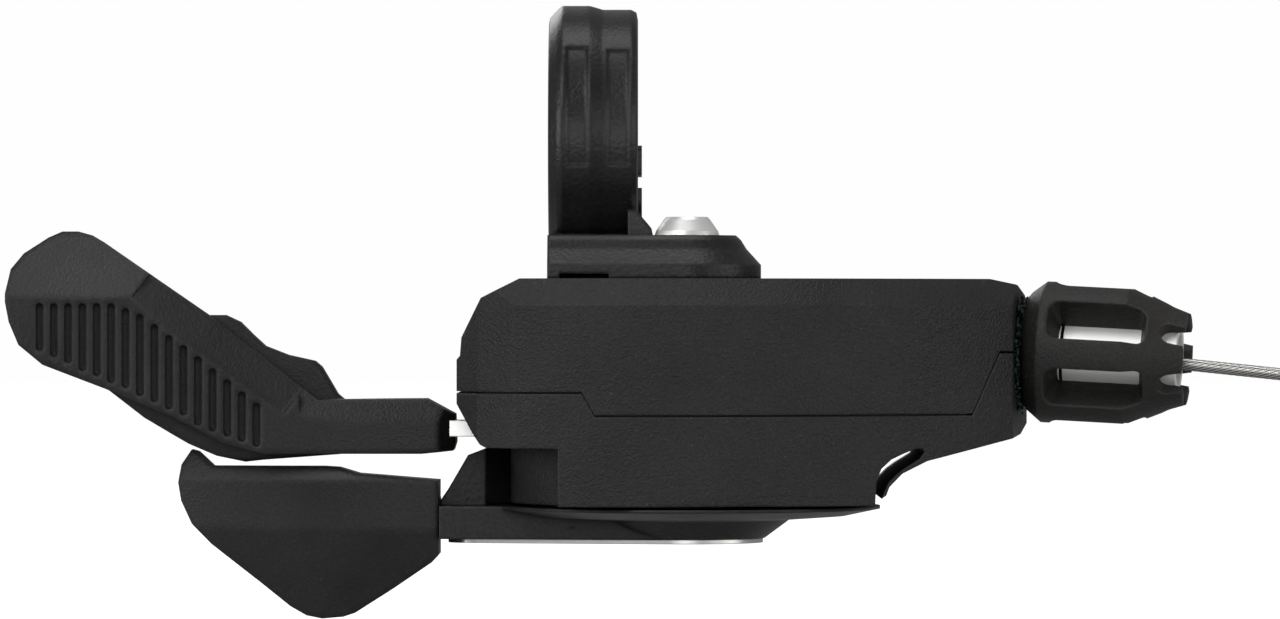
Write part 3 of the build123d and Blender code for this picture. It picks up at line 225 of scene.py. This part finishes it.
def grain_group():
    """Fine moulded grain: a noise plus shallow pits give the height.

    Sparse cells give specks, and a wide noise gives clouds.
    """
    group, given, result = new_group("moulded_grain")
    socket(group, "Size", "NodeSocketFloat", default=0.35)
    socket(group, "Specks", "NodeSocketFloat", default=0.1)
    socket(group, "Height", "NodeSocketFloat", out=True)
    socket(group, "Speck", "NodeSocketFloat", out=True)
    socket(group, "Cloud", "NodeSocketFloat", out=True)
    place = node(group, "ShaderNodeTexCoord").outputs["Object"]
    fine = node(group, "ShaderNodeTexNoise", sockets={"Detail": 3.0, "Roughness": 0.6})
    join(group, place, fine.inputs["Vector"])
    join(group, maths(group, "DIVIDE", GRAIN_CELLS, given.outputs["Size"]), fine.inputs["Scale"])
    pits = node(group, "ShaderNodeTexVoronoi", feature="SMOOTH_F1", sockets={"Smoothness": 0.6})
    join(group, place, pits.inputs["Vector"])
    join(group, maths(group, "DIVIDE", PIT_CELLS, given.outputs["Size"]), pits.inputs["Scale"])
    pitted = maths(group, "MULTIPLY", pits.outputs["Distance"], 0.7)
    join(group, maths(group, "ADD", fine.outputs["Fac"], pitted), result.inputs["Height"])
    dust = node(group, "ShaderNodeTexVoronoi", sockets={"Scale": DUST_CELLS, "Randomness": 1.0})
    join(group, place, dust.inputs["Vector"])
    near = maths(group, "LESS_THAN", dust.outputs["Distance"], given.outputs["Specks"])
    join(group, near, result.inputs["Speck"])
    wide = {"Scale": CLOUD_CELLS, "Detail": 4.0, "Roughness": 0.55}
    cloud = node(group, "ShaderNodeTexNoise", sockets=wide)
    join(group, place, cloud.inputs["Vector"])
    join(group, cloud.outputs["Fac"], result.inputs["Cloud"])
    return group


def edge_group():
    """Rounded edges: the normal averaged over a small radius; how far it leans from the face gives the mask of
    a painted edge highlight.
    """
    group, given, result = new_group("soft_edges")
    socket(group, "Radius", "NodeSocketFloat", default=0.3 * MM)
    socket(group, "Normal", "NodeSocketVector", out=True)
    socket(group, "Edge", "NodeSocketFloat", out=True)
    bevel = node(group, "ShaderNodeBevel", samples=6)
    join(group, given.outputs["Radius"], bevel.inputs["Radius"])
    join(group, bevel.outputs["Normal"], result.inputs["Normal"])
    face = node(group, "ShaderNodeNewGeometry")
    lean = node(group, "ShaderNodeVectorMath", operation="DOT_PRODUCT")
    join(group, bevel.outputs["Normal"], lean.inputs[0])
    join(group, face.outputs["Normal"], lean.inputs[1])
    gap = maths(group, "SUBTRACT", 1.0, lean.outputs["Value"])
    join(group, maths(group, "MULTIPLY", gap, 4.0, clamp=True), result.inputs["Edge"])
    return group


def rings_group():
    """Turned rings: a wave over the distance along an axis, roughened by a fine noise."""
    group, given, result = new_group("turned_rings")
    socket(group, "Axis", "NodeSocketVector", default=tuple(UP))
    socket(group, "Pitch", "NodeSocketFloat", default=0.2 * MM)
    socket(group, "Height", "NodeSocketFloat", out=True)
    place = node(group, "ShaderNodeTexCoord").outputs["Object"]
    turns = maths(group, "DIVIDE", along_axis(group, given, place), given.outputs["Pitch"])
    wave = maths(group, "SINE", maths(group, "MULTIPLY", turns, 2 * np.pi))
    grit = node(group, "ShaderNodeTexNoise", sockets={"Scale": GRIT_CELLS, "Detail": 2.0})
    join(group, place, grit.inputs["Vector"])
    join(group, maths(group, "ADD", wave, grit.outputs["Fac"]), result.inputs["Height"])
    return group


def crevice_shade_group():
    """How open a place is, as the mask of painted shade: 1 in the open, towards 0 in narrow grooves and
    joints.
    """
    group, given, result = new_group("crevice_shade")
    socket(group, "Reach", "NodeSocketFloat", default=0.8 * MM)
    socket(group, "Open", "NodeSocketFloat", out=True)
    near = node(group, "ShaderNodeAmbientOcclusion", samples=6)
    join(group, given.outputs["Reach"], near.inputs["Distance"])
    join(group, maths(group, "POWER", near.outputs["AO"], 1.6), result.inputs["Open"])
    return group


def band_group():
    """A band round an axis: 1 where the distance along the axis is nearer to a place than a width."""
    group, given, result = new_group("axis_band")
    socket(group, "Axis", "NodeSocketVector", default=tuple(UP))
    socket(group, "Place", "NodeSocketFloat", default=0.0)
    socket(group, "Width", "NodeSocketFloat", default=0.1 * MM)
    socket(group, "Mask", "NodeSocketFloat", out=True)
    place = node(group, "ShaderNodeTexCoord").outputs["Object"]
    past = maths(group, "SUBTRACT", along_axis(group, given, place), given.outputs["Place"])
    away = maths(group, "ABSOLUTE", past)
    join(group, maths(group, "LESS_THAN", away, given.outputs["Width"]), result.inputs["Mask"])
    return group


def strand_group():
    """Lay of a wire rope: the size of a sine over the piece's U, with as many half waves as strands."""
    group, given, result = new_group("strand_lay")
    socket(group, "Strands", "NodeSocketFloat", default=12.0)
    socket(group, "Height", "NodeSocketFloat", out=True)
    place = node(group, "ShaderNodeTexCoord")
    parts = node(group, "ShaderNodeSeparateXYZ")
    join(group, place.outputs["UV"], parts.inputs[0])
    turns = maths(group, "MULTIPLY", parts.outputs["X"], given.outputs["Strands"])
    wave = maths(group, "SINE", maths(group, "MULTIPLY", turns, np.pi))
    join(group, maths(group, "ABSOLUTE", wave), result.inputs["Height"])
    return group


group_makers = {
    "grain": grain_group,
    "edges": edge_group,
    "rings": rings_group,
    "bands": band_group,
    "crevice_shade": crevice_shade_group,
    "strands": strand_group,
}
groups = {}


def placed(tree, name, **values):
    """A shared group, built once, placed in a material with its own values."""
    if name not in groups:
        groups[name] = group_makers[name]()
    made = node(tree, "ShaderNodeGroup", node_tree=groups[name])
    for key, value in values.items():
        made.inputs[key].default_value = value
    return made


def material(name, **plain):
    """A material with a Principled shader whose uniform values are set on its own sockets."""
    made = bpy.data.materials.new(name)
    made.use_nodes = True
    shader = made.node_tree.nodes["Principled BSDF"]
    for key, value in plain.items():
        shader.inputs[key].default_value = value
    return made, made.node_tree, shader


def bumped(tree, shader, height, depth, normal=None):
    """Feeds the shader's normal from a height, over softened edges where their normal is given."""
    bump = node(tree, "ShaderNodeBump", sockets={"Strength": 1.0, "Distance": depth})
    join(tree, height, bump.inputs["Height"])
    if normal is not None:
        join(tree, normal, bump.inputs["Normal"])
    join(tree, bump.outputs["Normal"], shader.inputs["Normal"])


def moulded(name, colour, size, depth, rough, specks=0.06, radius=0.3 * MM):
    """Moulded black plastic or coated metal with grain on softened edges.

    Its colour is mottled by the grain, paler in specks of dust, paler on the edges in cloudy patches as a
    painted highlight, and darker in crevices as painted shade.
    Clouds spread its roughness.
    """
    made, tree, shader = material(name, **{"Specular IOR Level": 0.3})
    grain = placed(tree, "grain", Size=size, Specks=specks)
    edges = placed(tree, "edges", Radius=radius)
    crevice_shade = placed(tree, "crevice_shade", Reach=0.8 * MM)
    bumped(tree, shader, grain.outputs["Height"], depth, edges.outputs["Normal"])
    # Painted highlight: rounded edges are tinted paler in cloudy patches; specks of dust are tinted paler too.
    painted_edge_highlight = maths(tree, "MULTIPLY", edges.outputs["Edge"], grain.outputs["Cloud"])
    dusty = maths(tree, "MULTIPLY", grain.outputs["Speck"], 0.5)
    pale = tuple(channel * 3.2 + 0.012 for channel in colour)
    tint = mixed(tree, maths(tree, "ADD", dusty, painted_edge_highlight, clamp=True), colour, pale)
    mottle = maths(tree, "MULTIPLY", grain.outputs["Height"], grain.outputs["Cloud"])
    shade = mixed(tree, mottle, (0.3, 0.3, 0.3), (2.2, 2.2, 2.2))
    mottled = mixed(tree, 1.0, tint, shade, blend="MULTIPLY")
    # Painted shade: the colour goes towards black where the mask finds the place enclosed, in grooves and
    # joints.
    crevice_shaded = mixed(tree, crevice_shade.outputs["Open"], (0.0, 0.0, 0.0), mottled)
    join(tree, crevice_shaded, shader.inputs["Base Color"])
    join(tree, spread(tree, grain.outputs["Cloud"], rough - 0.12, rough + 0.16), shader.inputs["Roughness"])
    return made


def metal(name, colour, rough, axis=None, pitch=0.18 * MM, depth=0.001 * MM, bands=(), metallic=1.0):
    """Bare metal: turned rings along an axis or a fine grain, cloudy roughness, and dark bands if given."""
    made, tree, shader = material(name, Metallic=metallic)
    grain = placed(tree, "grain", Size=0.5, Specks=0.0)
    edges = placed(tree, "edges", Radius=0.15 * MM)
    height = grain.outputs["Height"]
    if axis is not None:
        height = placed(tree, "rings", Axis=axis, Pitch=pitch).outputs["Height"]
    bumped(tree, shader, height, depth, edges.outputs["Normal"])
    dull = tuple(channel * 0.75 for channel in colour)
    tint = mixed(tree, grain.outputs["Cloud"], dull, colour)
    for place, width in bands:
        band = placed(tree, "bands", Axis=axis, Place=place, Width=width)
        tint = mixed(tree, band.outputs["Mask"], tint, (0.01, 0.01, 0.01))
    join(tree, tint, shader.inputs["Base Color"])
    join(tree, spread(tree, grain.outputs["Cloud"], rough * 0.8, rough * 1.25), shader.inputs["Roughness"])
    return made


def stranded(name, colour, strands):
    """Wire of polished strands: stripes of the lay as height and as painted shade in the grooves between the
    strands.
    """
    made, tree, shader = material(name, Metallic=1.0, Roughness=0.3)
    lay = placed(tree, "strands", Strands=strands)
    bumped(tree, shader, lay.outputs["Height"], 0.06 * MM)
    # Painted shade: the colour darkens towards the grooves between the strands.
    dark = tuple(channel * 0.08 for channel in colour)
    shade = maths(tree, "MULTIPLY", lay.outputs["Height"], 1.25, clamp=True)
    join(tree, mixed(tree, shade, dark, colour), shader.inputs["Base Color"])
    return made


def finish_node(names, made):
    """Gives CAD nodes a material."""
    for name in names:
        slots = nodes[name].data.materials
        slots.clear()
        slots.append(made)


def grid_faces(rows, columns, wrap_rows, wrap_columns):
    """Quads of a grid whose rows or columns may close on themselves, as index arrays."""
    i = np.arange(rows if wrap_rows else rows - 1)[:, None]
    j = np.arange(columns if wrap_columns else columns - 1)[None, :]
    next_i, next_j = (i + 1) % rows, (j + 1) % columns
    corners = [i * columns + j, i * columns + next_j, next_i * columns + next_j, next_i * columns + j]
    return np.stack(corners, axis=-1).reshape(-1, 4)


def mesh_piece(name, points, faces, made, smooth=True, uv=None):
    """A mesh object from whole arrays of points and quads, with its place in its mesh."""
    mesh = bpy.data.meshes.new(name)
    mesh.from_pydata(points.reshape(-1, 3).tolist(), [], faces.tolist())
    mesh.polygons.foreach_set("use_smooth", np.full(len(faces), smooth))
    if uv is not None:
        layer = mesh.uv_layers.new(name="lay")
        layer.data.foreach_set("uv", uv.astype(np.float32).ravel())
    mesh.materials.append(made)
    mesh.update()
    piece = bpy.data.objects.new(name, mesh)
    bpy.context.scene.collection.objects.link(piece)
    return piece


def mesh_points(mesh):
    """A mesh's vertices as rows of three."""
    flat = np.empty(3 * len(mesh.vertices))
    mesh.vertices.foreach_get("co", flat)
    return flat.reshape(-1, 3)


def route_points(curve_object):
    """Points along a curve's own NURBS line, read from its mesh with no bevel."""
    mesh = bpy.data.meshes.new_from_object(curve_object)
    points = mesh_points(mesh)
    bpy.data.meshes.remove(mesh)
    return points


def wire_route(wire):
    """Control points of the wire: the run out of the barrel, the coil's turns and the tail.

    The coil is wound in columns: each is a flat spiral of one turn less than its layers, inwards and
    outwards by turns, and one more turn at the same radius steps a wire's width sideways. The control points
    stand a little outside the wire's circle, by the amount that a quadratic spline cuts inside them.
    """
    start = barrel_origin + barrel_dir * 5.8 * MM
    flat = np.array([barrel_dir[0], barrel_dir[1], 0.0])
    flat /= np.linalg.norm(flat)
    side = np.cross(UP, flat)
    run_dir = flat * np.cos(wire.sag) - UP * np.sin(wire.sag)
    end = start + run_dir * wire.run
    centre = end - (flat * np.sin(wire.sag) + UP * np.cos(wire.sag)) * wire.coil_radius
    spiral = wire.layers - 1
    total = wire.columns * wire.layers - 0.5
    t = np.arange(0.5, total * TURN_POINTS) / TURN_POINTS
    column = np.floor(t / wire.layers)
    within = t - column * wire.layers
    depth = np.minimum(within, spiral)
    depth = np.where(column % 2 == 0, depth, spiral - depth)
    across = column + np.clip(within - spiral, 0, 1) - (wire.columns - 1) / 2
    cut = 0.75 + 0.25 * np.cos(2 * np.pi / TURN_POINTS)
    radius = (wire.coil_radius - depth * wire.diameter) / cut
    angle = np.pi / 2 - wire.sag - 2 * np.pi * t
    coil = centre + radius[:, None] * (np.cos(angle)[:, None] * flat + np.sin(angle)[:, None] * UP)
    coil = coil + (across * wire.diameter)[:, None] * side
    leave = coil[-1] - flat * 4 * MM
    tail = centre - UP * wire.coil_radius - flat * wire.tail
    run = start + run_dir * (RUN_SHARES * wire.run)[:, None]
    run = run + (coil[0] - end) @ side * side * RUN_DRIFT[:, None]
    return start, np.vstack([run, coil, leave, tail])


def rope(path, wire, made):
    """A tube along the path whose section has one lobe a strand, turned along the path by one turn a lay.

    A lobe is half a sine wave round the section, added to the radius. The lobes are full where the wire runs
    free and fade in the coil, where the material alone draws them.
    """
    free_step, wound_step, fade_length = 0.35 * MM, 2.0 * MM, 4 * MM
    strand_points, lobe_height, lobe_middle = 4, 0.075, 0.8
    steps = np.diff(path, axis=0)
    along = np.r_[0.0, np.cumsum(np.linalg.norm(steps, axis=1))]
    free = np.arange(0.0, wire.run, free_step)
    wound = np.arange(wire.run, along[-1], wound_step)
    places = np.r_[free, wound, along[-1]]
    line = np.stack([np.interp(places, along, path[:, k]) for k in range(3)], axis=1)
    ahead = np.gradient(line, axis=0)
    ahead /= np.linalg.norm(ahead, axis=1, keepdims=True)
    across = -barrel_side + (ahead @ barrel_side)[:, None] * ahead
    across /= np.linalg.norm(across, axis=1, keepdims=True)
    third = np.cross(ahead, across)
    count = strand_points * wire.strands
    around = (2 * np.pi * np.arange(count) / count)[None, :]
    twisted = np.minimum(places, wire.run)
    fade = np.clip((wire.run - places) / fade_length, 0, 1)
    lobes = np.abs(np.sin(wire.strands / 2 * around))
    strand = lobe_height * wire.diameter * fade[:, None]
    radius = wire.diameter / 2 + strand * (lobes - lobe_middle)
    turn = around - 2 * np.pi * twisted[:, None] / wire.lay
    grid = line[:, None, :] + (radius * np.cos(turn))[..., None] * across[:, None, :]
    grid = grid + (radius * np.sin(turn))[..., None] * third[:, None, :]
    faces = grid_faces(len(places), count, False, True)[:, ::-1]
    row = faces // count
    column = faces % count
    low = column.min(axis=1, keepdims=True)
    wrapped = (column.max(axis=1, keepdims=True) - low) > 1
    u = np.where(wrapped & (column == 0), count, column) / count + (places - twisted)[row] / wire.lay
    uv = np.stack([u, places[row] / wire.lay], axis=-1)
    return mesh_piece("inner_wire", grid, faces, made, uv=uv)


class MakeWire(bpy.types.Operator):
    """Makes the stranded inner wire along its run, coil and tail."""

    bl_idname = "shifter.make_wire"
    bl_label = "Inner wire"

    def execute(self, context):
        wire = context.scene.shifter_wire
        start, points = wire_route(wire)
        line = bpy.data.curves.new("wire_line", "CURVE")
        line.dimensions = "3D"
        spline = line.splines.new("NURBS")
        spline.points.add(len(points) - 1)
        spline.points.foreach_set("co", np.c_[points, np.ones(len(points))].ravel())
        spline.order_u = 3
        spline.use_endpoint_u = True
        spline.resolution_u = 6
        guide = bpy.data.objects.new("wire_line", line)
        path = route_points(guide)
        bpy.data.objects.remove(guide)
        made = stranded("wire_steel", (0.5, 0.49, 0.475), wire.strands)
        piece = rope(path, wire, made)
        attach(piece, "pod")
        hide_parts("cable_run", "cable_coil", "cable_tail")
        return {"FINISHED"}


def paste_crumbs():
    """Points and quads of the paste: small balls, each stretched and made lumpy at random.

    Most lie on one side of the barrel's root, thinning outwards from it. Every fifth is a stray that lies
    anywhere round the root and close to it.
    """
    count, stray, seed = 320, 5, 7
    side, fan = np.radians(122), 0.42
    rows, columns, pole = 7, 10, 0.02
    rng = np.random.default_rng(seed)
    angle = rng.normal(0.0, fan, count) + side
    angle[::stray] = rng.uniform(0, 2 * np.pi, len(angle[::stray]))
    along = rng.uniform(-0.75, 0.05, count) * MM
    share = rng.uniform(0, 1.0, count) ** 2
    share[::stray] *= 0.3
    reach = (5.1 + 1.4 * share) * MM
    size = rng.uniform(0.08, 0.34, count) * MM
    lat = np.linspace(pole, np.pi - pole, rows)
    lon = 2 * np.pi * np.arange(columns) / columns
    ball = np.stack([
        np.sin(lat)[:, None] * np.cos(lon), np.sin(lat)[:, None] * np.sin(lon),
        np.cos(lat)[:, None] * np.ones(columns),
    ], axis=-1).reshape(-1, 3)
    lumps = 1 + 0.225 * rng.standard_normal((count, len(ball), 1))
    stretch = rng.uniform(0.5, 1.3, (count, 1, 3))
    shapes = ball[None] * lumps * stretch * size[:, None, None]
    outward = np.cos(angle)[:, None] * barrel_up + np.sin(angle)[:, None] * barrel_side
    middle = barrel_origin + along[:, None] * barrel_dir + reach[:, None] * outward
    one = grid_faces(rows, columns, False, True)
    faces = (one[None] + (np.arange(count) * rows * columns)[:, None, None]).reshape(-1, 4)
    return shapes + middle[:, None, :], faces


class MakePaste(bpy.types.Operator):
    """Scatters crumbs of thread paste round the barrel's root."""

    bl_idname = "shifter.make_paste"
    bl_label = "Thread paste"

    def execute(self, context):
        colour = tuple(context.scene.shifter_finish.paste)
        fine = {"size": 0.4, "depth": 0.04 * MM, "rough": 0.45, "specks": 0.0, "radius": 0.05 * MM}
        piece = mesh_piece("thread_paste", *paste_crumbs(), moulded("thread_paste", colour, **fine))
        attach(piece, "pod")
        return {"FINISHED"}


def seam_outline():
    """Corners of the convex outline that the shells have at their parting line, from their own vertices.

    Only vertices within a narrow band about the line's height count, and the outline ends short of the
    shells' tail. A corner that is very near to the next is dropped.
    """
    band, least_side, last_x = 0.3 * MM, 0.4 * MM, axle[0] + 30.0 * MM
    found = []
    for name in ("top_cover", "lower_housing"):
        flat = mesh_points(nodes[name].data)
        points = np.c_[flat, np.ones(len(flat))] @ np.array(nodes[name].matrix_world).T
        level = np.interp(points[:, 0], SEAM[:, 0], SEAM[:, 1])
        found.append(points[np.abs(points[:, 2] - level) < band, :2])
    found = np.vstack(found)
    found[:, 0] = np.minimum(found[:, 0], last_x)
    hull = found[convex_hull_2d(found.tolist())]
    step = np.linalg.norm(np.roll(hull, -1, axis=0) - hull, axis=1)
    return hull[step > least_side]


def inset_outline(corners, inset):
    """A convex outline moved inwards: each edge's line shifts by the inset and the corners are cut anew."""
    edge = np.roll(corners, -1, axis=0) - corners
    outward = np.stack([edge[:, 1], -edge[:, 0]], axis=1) / np.linalg.norm(edge, axis=1, keepdims=True)
    centre = corners.mean(axis=0)
    outward *= np.sign(np.einsum("ij,ij->i", corners - centre, outward))[:, None]
    reach = np.einsum("ij,ij->i", corners, outward) - inset
    before, early = np.roll(outward, 1, axis=0), np.roll(reach, 1)
    both = before[:, 0] * outward[:, 1] - before[:, 1] * outward[:, 0]
    x = (early * outward[:, 1] - reach * before[:, 1]) / both
    y = (before[:, 0] * reach - outward[:, 0] * early) / both
    return np.stack([x, y], axis=1)


class MakeLip(bpy.types.Operator):
    """Makes the lip inside the shells' walls that closes their parting line.

    A rectangle is carried round the shells' outline, inside their walls, at the height of their parting line.
    """

    bl_idname = "shifter.make_lip"
    bl_label = "Parting lip"

    def execute(self, context):
        outer, inner, half_height, edge_points = 0.6 * MM, 1.2 * MM, 0.6 * MM, 40
        corners = seam_outline()
        share = (np.arange(edge_points) / edge_points)[None, :, None]
        rings = []
        for inset, rise in (
            (outer, -half_height), (outer, half_height), (inner, half_height), (inner, -half_height),
        ):
            loop = inset_outline(corners, inset)
            ahead = np.roll(loop, -1, axis=0)
            path = (loop[:, None] * (1 - share) + ahead[:, None] * share).reshape(-1, 2)
            level = np.interp(path[:, 0], SEAM[:, 0], SEAM[:, 1]) + rise
            rings.append(np.c_[path, level])
        grid = np.stack(rings, axis=1)
        made = moulded("lip_nylon", (0.01, 0.01, 0.01), size=0.3, depth=0.02 * MM, rough=0.6)
        faces = grid_faces(len(grid), len(rings), True, True)
        piece = mesh_piece("parting_lip", grid, faces, made, smooth=False)
        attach(piece, "pod")
        return {"FINISHED"}


class FinishPod(bpy.types.Operator):
    """Gives the pod's shells, clamp and hardware their finishes."""

    bl_idname = "shifter.finish_pod"
    bl_label = "Pod and clamp"

    def execute(self, context):
        colours = context.scene.shifter_finish
        grained = {"size": 0.34, "depth": 0.1 * MM, "rough": 0.5, "specks": 0.09}
        finish_node(["top_cover", "lower_housing"], moulded("housing_nylon", tuple(colours.nylon), **grained))
        smooth = {"size": 0.6, "depth": 0.03 * MM, "rough": 0.34, "specks": 0.07, "radius": 0.5 * MM}
        finish_node(["clamp_band"], moulded("forged_black", tuple(colours.forged), **smooth))
        rubber = moulded("plug_rubber", (0.02, 0.02, 0.02), size=0.5, depth=0.01 * MM, rough=0.7)
        finish_node(["cable_port_plug", "barrel_o_ring"], rubber)
        bright = metal("screw_steel", (0.94, 0.94, 0.92), 0.34, axis=tuple(UP), metallic=0.6)
        finish_node(["mounting_screw"], bright)
        finish_node(["pinch_bolt", "housing_screws"], metal("blackened_steel", (0.09, 0.09, 0.095), 0.38))
        threaded = {"axis": tuple(barrel_dir), "pitch": 0.8 * MM, "depth": 0.08 * MM}
        finish_node(["threaded_neck"], metal("neck_thread", (0.05, 0.05, 0.055), 0.42, **threaded))
        return {"FINISHED"}


class FinishWorks(bpy.types.Operator):
    """Gives the indexing mechanism's plates, ratchets, pawls and springs their finishes."""

    bl_idname = "shifter.finish_works"
    bl_label = "Mechanism"

    def execute(self, context):
        plate = metal("plate_steel", (0.76, 0.76, 0.74), 0.3)
        finish_node(
            ["main_axle", "hub_washer", "axle_nut", "top_plate", "base_plate", "plate_pillars", "release_arm",
             "index_ratchet", "winding_ratchet", "pull_carrier", "hub_plate", "cable_nipple"], plate,
        )
        pawl = metal("pawl_steel", (0.16, 0.16, 0.17), 0.35)
        finish_node(["holding_pawl", "holding_pawl_pin", "pull_pawl", "pull_pawl_pin", "base_bushing"], pawl)
        spring = metal("spring_steel", (0.5, 0.5, 0.49), 0.3)
        finish_node(
            ["holding_pawl_spring", "release_spring", "lever_return_spring", "spool_spring",
             "pull_pawl_spring"], spring,
        )
        acetal = moulded("spool_acetal", (0.62, 0.61, 0.57), size=0.8, depth=0.01 * MM, rough=0.42)
        finish_node(["cable_spool"], acetal)
        finish_node(["cable_wire"], metal("wire_inside", (0.72, 0.71, 0.69), 0.3))
        tie = moulded("tie_nylon", (0.7, 0.7, 0.66), size=0.6, depth=0.01 * MM, rough=0.45)
        finish_node(["cable_tie"], tie)
        finish_node(["cable_end_cap"], metal("cap_aluminium", (0.8, 0.8, 0.81), 0.3))
        return {"FINISHED"}


class FinishLevers(bpy.types.Operator):
    """Gives both thumb levers their finishes."""

    bl_idname = "shifter.finish_levers"
    bl_label = "Levers"

    def execute(self, context):
        colour = tuple(context.scene.shifter_finish.lever)
        satin = {"size": 0.4, "depth": 0.03 * MM, "rough": 0.44, "specks": 0.07, "radius": 0.9 * MM}
        finish_node(["release_paddle", "pull_paddle"], moulded("lever_satin", colour, **satin))
        coated = {"size": 0.6, "depth": 0.03 * MM, "rough": 0.4, "specks": 0.07, "radius": 0.4 * MM}
        finish_node(["pull_hub"], moulded("hub_black", colour, **coated))
        return {"FINISHED"}


class FinishBarrel(bpy.types.Operator):
    """Gives the barrel adjuster's grip and sleeve their finishes."""

    bl_idname = "shifter.finish_barrel"
    bl_label = "Barrel adjuster"

    def execute(self, context):
        coated = {"size": 0.45, "depth": 0.05 * MM, "rough": 0.5, "specks": 0.08, "radius": 0.5 * MM}
        finish_node(["barrel_grip"], moulded("grip_black", (0.012, 0.0112, 0.0105), **coated))
        root = float(barrel_origin @ barrel_dir)
        bands = ((root + 3.35 * MM, 0.1 * MM), (root + 3.85 * MM, 0.16 * MM))
        turned = {"axis": tuple(barrel_dir), "bands": bands, "metallic": 0.5}
        finish_node(["barrel_sleeve"], metal("sleeve_bright", (0.97, 0.97, 0.95), 0.4, **turned))
        return {"FINISHED"}


def add_camera(scene):
    """A camera in front of the pod, level and square to it, whose frame spans a set width at the axle."""
    studio = scene.shifter_studio
    data = bpy.data.cameras.new("camera")
    data.sensor_width = 36.0
    data.lens = data.sensor_width * studio.distance / studio.width
    data.clip_start = 0.05
    camera = bpy.data.objects.new("camera", data)
    camera.location = (studio.across, axle[1] - studio.distance, studio.level)
    camera.rotation_euler = (np.pi / 2, 0.0, 0.0)
    scene.collection.objects.link(camera)
    scene.camera = camera
    scene.view_settings.view_transform = "Standard"


def add_floor():
    """A level grid just under the object: pale, and glowing to the camera as a lit studio floor does."""
    gap, reach, lines = 0.1 * MM, 4.0, 9
    made, tree, shader = material("pale_floor", **{"Roughness": 0.9, "Emission Color": WHITE})
    cloud = node(tree, "ShaderNodeTexNoise", sockets={"Scale": 1.5, "Detail": 2.0})
    join(tree, node(tree, "ShaderNodeTexCoord").outputs["Object"], cloud.inputs["Vector"])
    tone = mixed(tree, cloud.outputs["Fac"], (0.4, 0.4, 0.4), (0.45, 0.45, 0.45))
    join(tree, tone, shader.inputs["Base Color"])
    ray = node(tree, "ShaderNodeLightPath")
    join(tree, spread(tree, ray.outputs["Is Camera Ray"], 0.0, 0.9), shader.inputs["Emission Strength"])
    places = np.linspace(-reach, reach, lines)
    x, y = np.meshgrid(places, places)
    grid = np.stack([x, y, np.full_like(x, cad_box[0][2] - gap)], axis=-1)
    floor = mesh_piece("floor", grid, grid_faces(lines, lines, False, False), made)


def add_room(scene):
    """A white room: dim as a light and bright to the camera."""
    world = bpy.data.worlds.new("soft_room")
    world.use_nodes = True
    room = world.node_tree
    glow = room.nodes["Background"]
    glow.inputs["Color"].default_value = WHITE
    ray = node(room, "ShaderNodeLightPath")
    join(room, spread(room, ray.outputs["Is Camera Ray"], 0.23, 0.99), glow.inputs["Strength"])
    scene.world = world


def add_lights(scene):
    """Square lamps round the object, all turned to it."""
    for name, place, side, power in LIGHTS:
        light = bpy.data.lights.new(name, "AREA")
        light.size = side
        light.energy = power
        lamp = bpy.data.objects.new(name, light)
        lamp.location = place
        lamp.rotation_euler = (LIGHTS_AIM - lamp.location).to_track_quat("-Z", "Y").to_euler()
        scene.collection.objects.link(lamp)


class BuildStudio(bpy.types.Operator):
    """Sets the camera, the pale floor, the room and the soft lights."""

    bl_idname = "shifter.build_studio"
    bl_label = "Studio"

    def execute(self, context):
        add_camera(context.scene)
        add_floor()
        add_room(context.scene)
        add_lights(context.scene)
        return {"FINISHED"}


operators = (BuildStudio, MakeWire, MakePaste, MakeLip, FinishPod, FinishWorks, FinishLevers, FinishBarrel)
settings = {"shifter_wire": WireSettings, "shifter_finish": FinishSettings, "shifter_studio": StudioSettings}


class ShifterPanel(bpy.types.Panel):
    """Lists the shifter's operators and settings."""

    bl_label = "Trigger Gear Shifter"
    bl_idname = "VIEW3D_PT_shifter"
    bl_space_type = "VIEW_3D"
    bl_region_type = "UI"
    bl_category = "Shifter"

    def draw(self, context):
        for name in settings:
            group = getattr(context.scene, name)
            for key in group.__annotations__:
                self.layout.prop(group, key)
        for operator in operators:
            self.layout.operator(operator.bl_idname)


def register():
    """Registers the settings, the operators and the panel."""
    for name, group in settings.items():
        bpy.utils.register_class(group)
        setattr(bpy.types.Scene, name, PointerProperty(type=group))
    for each in (*operators, ShifterPanel):
        bpy.utils.register_class(each)


def unregister():
    """Takes the panel, the operators and the settings away again."""
    for each in (ShifterPanel, *operators[::-1]):
        bpy.utils.unregister_class(each)
    for name, group in settings.items():
        delattr(bpy.types.Scene, name)
        bpy.utils.unregister_class(group)


def main():
    """Makes everything in order."""
    register()
    for operator in operators:
        family, name = operator.bl_idname.split(".")
        getattr(getattr(bpy.ops, family), name)()


if __name__ == "__main__":
    main()
